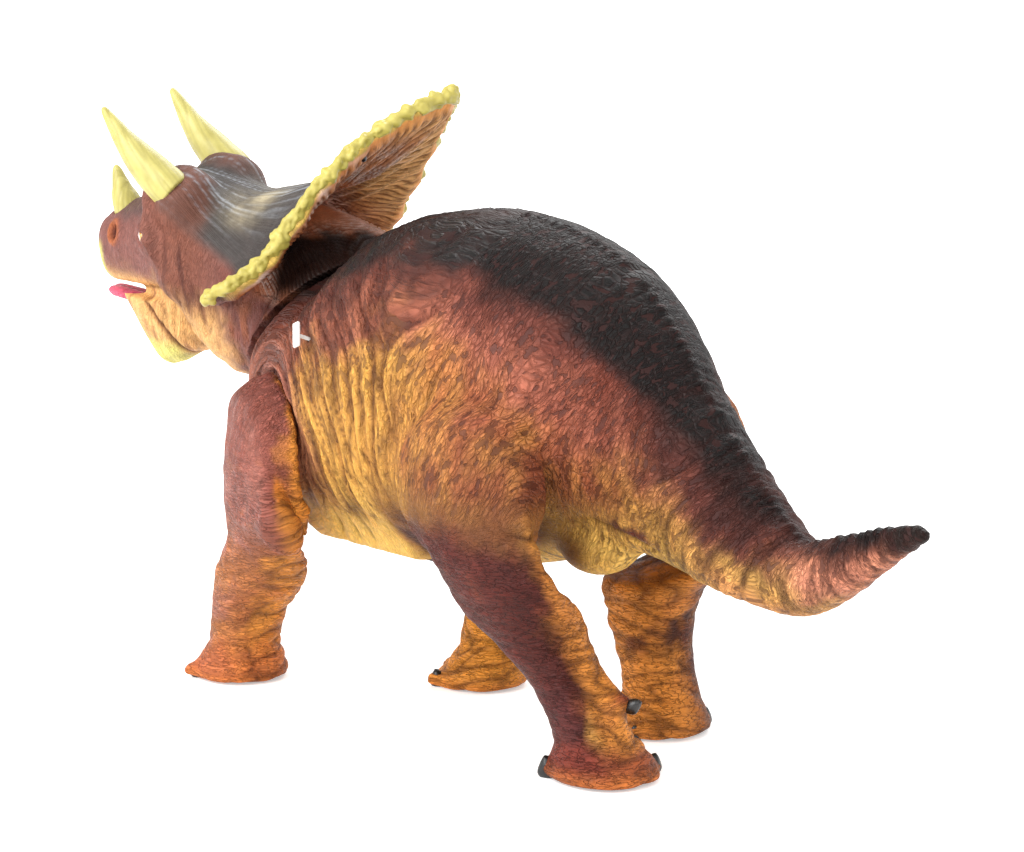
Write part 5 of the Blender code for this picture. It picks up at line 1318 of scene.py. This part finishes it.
class Studio:
    """The camera, soft lights, pale floor and white surroundings, in metres and watts."""

    LENS = 119.53
    SENSOR = 36.0
    FAR = 20.0
    CAMERA_OFF_NECK = (-0.8361, 0.6315, 0.151)
    TARGET_OFF_NECK = (-0.0932, 0.008, -0.020)
    LAMP_TARGET = (0.0, 0.0, 0.08)
    LAMPS = (
        ("key", (0.15, 1.2, 0.85), 1.2, 21.0),
        ("camera_side", (-1.1, 0.5, 1.1), 1.2, 6.0),
        ("back", (0.6, -1.0, 1.1), 0.9, 12.0),
    )
    FLOOR_SIZE = 6.0
    FLOOR_COLOUR = (0.92, 0.92, 0.92, 1.0)
    HAZE_START = 0.42
    HAZE_END = 0.85
    HAZE_LEAST = 0.42
    WORLD_LIGHT = 0.95

    def __init__(self, neck: Vector) -> None:
        """Take the neck's place, from which the camera is measured."""
        self.neck = neck

    def camera(self) -> None:
        """Set the camera at the photograph's angle."""
        data = bpy.data.cameras.new("camera")
        data.lens = self.LENS
        data.sensor_width = self.SENSOR
        data.clip_end = self.FAR
        place, target = (self.neck + Vector(off) for off in (self.CAMERA_OFF_NECK, self.TARGET_OFF_NECK))
        bpy.context.scene.camera = aimed("camera", data, place, target)

    def lamps(self) -> None:
        """Add soft square lamps that face the figure."""
        for name, place, size, power in self.LAMPS:
            data = bpy.data.lights.new(name, "AREA")
            data.size = size
            data.energy = power
            aimed(name, data, Vector(place), Vector(self.LAMP_TARGET))

    def floor(self) -> None:
        """Lay a wide pale floor that is lit near the figure and plain white further off."""
        mesh = bpy.data.meshes.new("floor")
        shape = bmesh.new()
        bmesh.ops.create_grid(shape, x_segments=1, y_segments=1, size=self.FLOOR_SIZE)
        shape.to_mesh(mesh)
        shape.free()
        nodes = NodeTree("pale_floor")
        nodes.finish(Base_Color=self.FLOOR_COLOUR, Roughness=0.9, Specular_IOR_Level=0.0)
        away = nodes.add("ShaderNodeVectorMath", {0: nodes.place()}, operation="LENGTH").outputs["Value"]
        white = nodes.span(away, self.HAZE_START, self.HAZE_END, self.HAZE_LEAST, 1.0)
        glow = nodes.add("ShaderNodeEmission", {"Color": WHITE, "Strength": nodes.times(nodes.seen(), white)})
        both = nodes.add("ShaderNodeAddShader", {0: nodes.shader.outputs[0], 1: glow.outputs[0]})
        nodes.join(both.outputs[0], nodes.tree.nodes["Material Output"].inputs["Surface"])
        mesh.materials.append(nodes.material)
        linked("floor", mesh)

    def world(self) -> None:
        """Surround the scene with soft white light that looks white to the camera."""
        world = bpy.data.worlds.new("surroundings")
        world.use_nodes = True
        tree = Tree(world.node_tree)
        background = world.node_tree.nodes["Background"]
        tree.join(WHITE, background.inputs["Color"])
        tree.join(tree.span(tree.seen(), 0.0, 1.0, self.WORLD_LIGHT, 1.0), background.inputs["Strength"])
        bpy.context.scene.world = world

    def build(self) -> None:
        """Set up everything that isn't the toy."""
        self.camera()
        self.lamps()
        self.floor()
        self.world()
        bpy.context.scene.view_settings.view_transform = "Standard"


def plain_finishes(nodes: list[str]) -> dict[str, PlainFinish]:
    """Return the finish of each hard node that keeps its solid."""
    black = PlainFinish("black_moulding", "0C0C0D", "1C1C1E", 0.42, 1500.0)
    case = PlainFinish("case_moulding", "141416", "222226", 0.5, 900.0)
    chosen = dict.fromkeys(("sound_unit_cover", "battery_door", "push_button"), black)
    chosen.update(dict.fromkeys(("sound_unit_case", "switch_block"), case))
    chosen["speaker"] = PlainFinish("speaker_cone", "1A1A1B", "2C2B2A", 0.7, 3000.0)
    metals = {
        "screw": PlainFinish("screw_steel", "8F9092", "B4B5B8", 0.28, 2400.0, metallic=1.0),
        "button_cell": PlainFinish("cell_steel", "A9AAAD", "C6C7CA", 0.2, 3200.0, metallic=1.0),
        "contact": PlainFinish("contact_bronze", "B07A48", "C99A62", 0.3, 2000.0, metallic=1.0),
        "speaker_lead": PlainFinish("lead_copper", "A65A34", "C27A4C", 0.34, 1800.0, metallic=1.0),
    }
    for ending, metal in metals.items():
        chosen.update({name: metal for name in nodes if name.endswith(ending)})
    chosen["circuit_board"] = PlainFinish("board_green", "0F4A26", "1A6A38", 0.4, 1400.0, coat=0.3)
    chosen["tag_fastener"] = PlainFinish("tag_nylon", "F6F6F4", "E4E4E0", 0.35, 1600.0)
    return chosen


class Toy:
    """The whole figure: its skins, grown pieces and the finishes of its hard parts."""

    FEET = (
        Foot("front_left_leg", Rider.LEFT_FORELEG, Side.LEFT, ((-65.0, 0.7), (0.0, 0.8), (65.0, 0.6))),
        Foot("front_right_leg", Rider.RIGHT_FORELEG, Side.RIGHT, ((-65.0, 0.75), (0.0, 0.8), (65.0, 0.7))),
        Foot(
            "hind_left_leg",
            Rider.TORSO,
            Side.LEFT,
            ((-110.0, 0.8), (-56.0, 0.6), (-4.0, 0.8), (50.0, 0.9)),
            (Claw((-76.0, 16.7, 21.4), -165.0, 0.7, 62.0),),
        ),
        Foot(
            "hind_right_leg",
            Rider.TORSO,
            Side.RIGHT,
            ((-110.0, 0.6), (-56.0, 0.8), (-4.0, 1.0), (110.0, 0.8)),
        ),
    )
    RIM_ROWS = (
        RimStuds("rim_band", 150, 0.0030, 0.0020, 7),
        RimStuds("rim_knobs", 41, 0.0030, 0.0026, 3),
    )
    RIM_CHIPS = RimStuds("frill_rim_chips", 3, 0.0024, 0.0026, 5)
    CHIP_PLACES = ((-73.5, 22.3, 12.2), (-76.0, 20.0, 15.0), (-80.5, 15.5, 19.0))

    def __init__(self, frame: dict) -> None:
        """Take the frame."""
        self.frame = frame
        self.neck = Vector(joint_of(frame, "head_turn")["pos_m"])
        self.place = HeadPlace(self.neck)

    def finish_node(self, name: str, finish: Material) -> None:
        """Give a node that keeps its solid a finish of its own."""
        self.frame["nodes"][name].data.materials[0] = finish
        LOG.info("%s: %s", name, finish.name)

    def dress_nodes(self) -> None:
        """Finish every node that keeps its solid."""
        chosen = plain_finishes(list(self.frame["nodes"]))
        made = {finish: finish.build() for finish in dict.fromkeys(chosen.values())}
        for name, finish in chosen.items():
            self.finish_node(name, made[finish])
        for name in ("left_eye", "right_eye"):
            self.finish_node(name, self.place.eye(name))

    def build(self) -> None:
        """Build every piece."""
        skin = SkinFinish("painted_skin").build()
        face = SkinFinish("painted_head", wash_share=0.7, relief=0.0006).build()
        horn = HornFinish().build()
        Trunk(self.frame).build(Rider.TORSO, "skin", skin)
        Foreleg(self.frame, Side.LEFT).build(Rider.LEFT_FORELEG, "skin", skin)
        Foreleg(self.frame, Side.RIGHT).build(Rider.RIGHT_FORELEG, "skin", skin)
        head = Head(self.frame, self.place)
        head.build(Rider.HEAD, "head_skin", face)
        for node in ("left_brow_horn", "right_brow_horn", "nose_horn"):
            Horn(self.frame, node).build(Rider.HEAD, "horn_vinyl", horn)
        tongue = SkinFinish("wet_tongue", wash="5A1020", roughness=0.2, relief=0.0002).build()
        Tongue(self.frame, self.place).build(Rider.HEAD, "mouth", tongue)
        rim = HornFinish("rim_horn", pale="CFC262", deep="9C8D38").build()
        lumps = fuse("frill_rim", [row.build(head.rim, rim) for row in self.RIM_ROWS], Remesh(0.0005, 4), rim)
        show("frill_rim", lumps, Rider.HEAD)
        black = PlainFinish("black_claw", "080707", "1E1B1A", 0.36, 900.0, coat=0.15, relief=0.0003).build()
        chips = self.RIM_CHIPS.build(self.place.world(np.array(self.CHIP_PLACES)), black)
        show(self.RIM_CHIPS.name, chips, Rider.HEAD)
        for foot in self.FEET:
            name = f"{foot.node}_claws"
            show(name, grow_claws(name, foot.claws(self.frame), black), foot.rider)
        self.dress_nodes()


def main() -> None:
    """Build the toy's looks around the frame."""
    logging.basicConfig(level=logging.INFO, format="%(message)s")
    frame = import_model()
    toy = Toy(frame)
    Studio(toy.neck).build()
    toy.build()


if __name__ == "__main__":
    main()
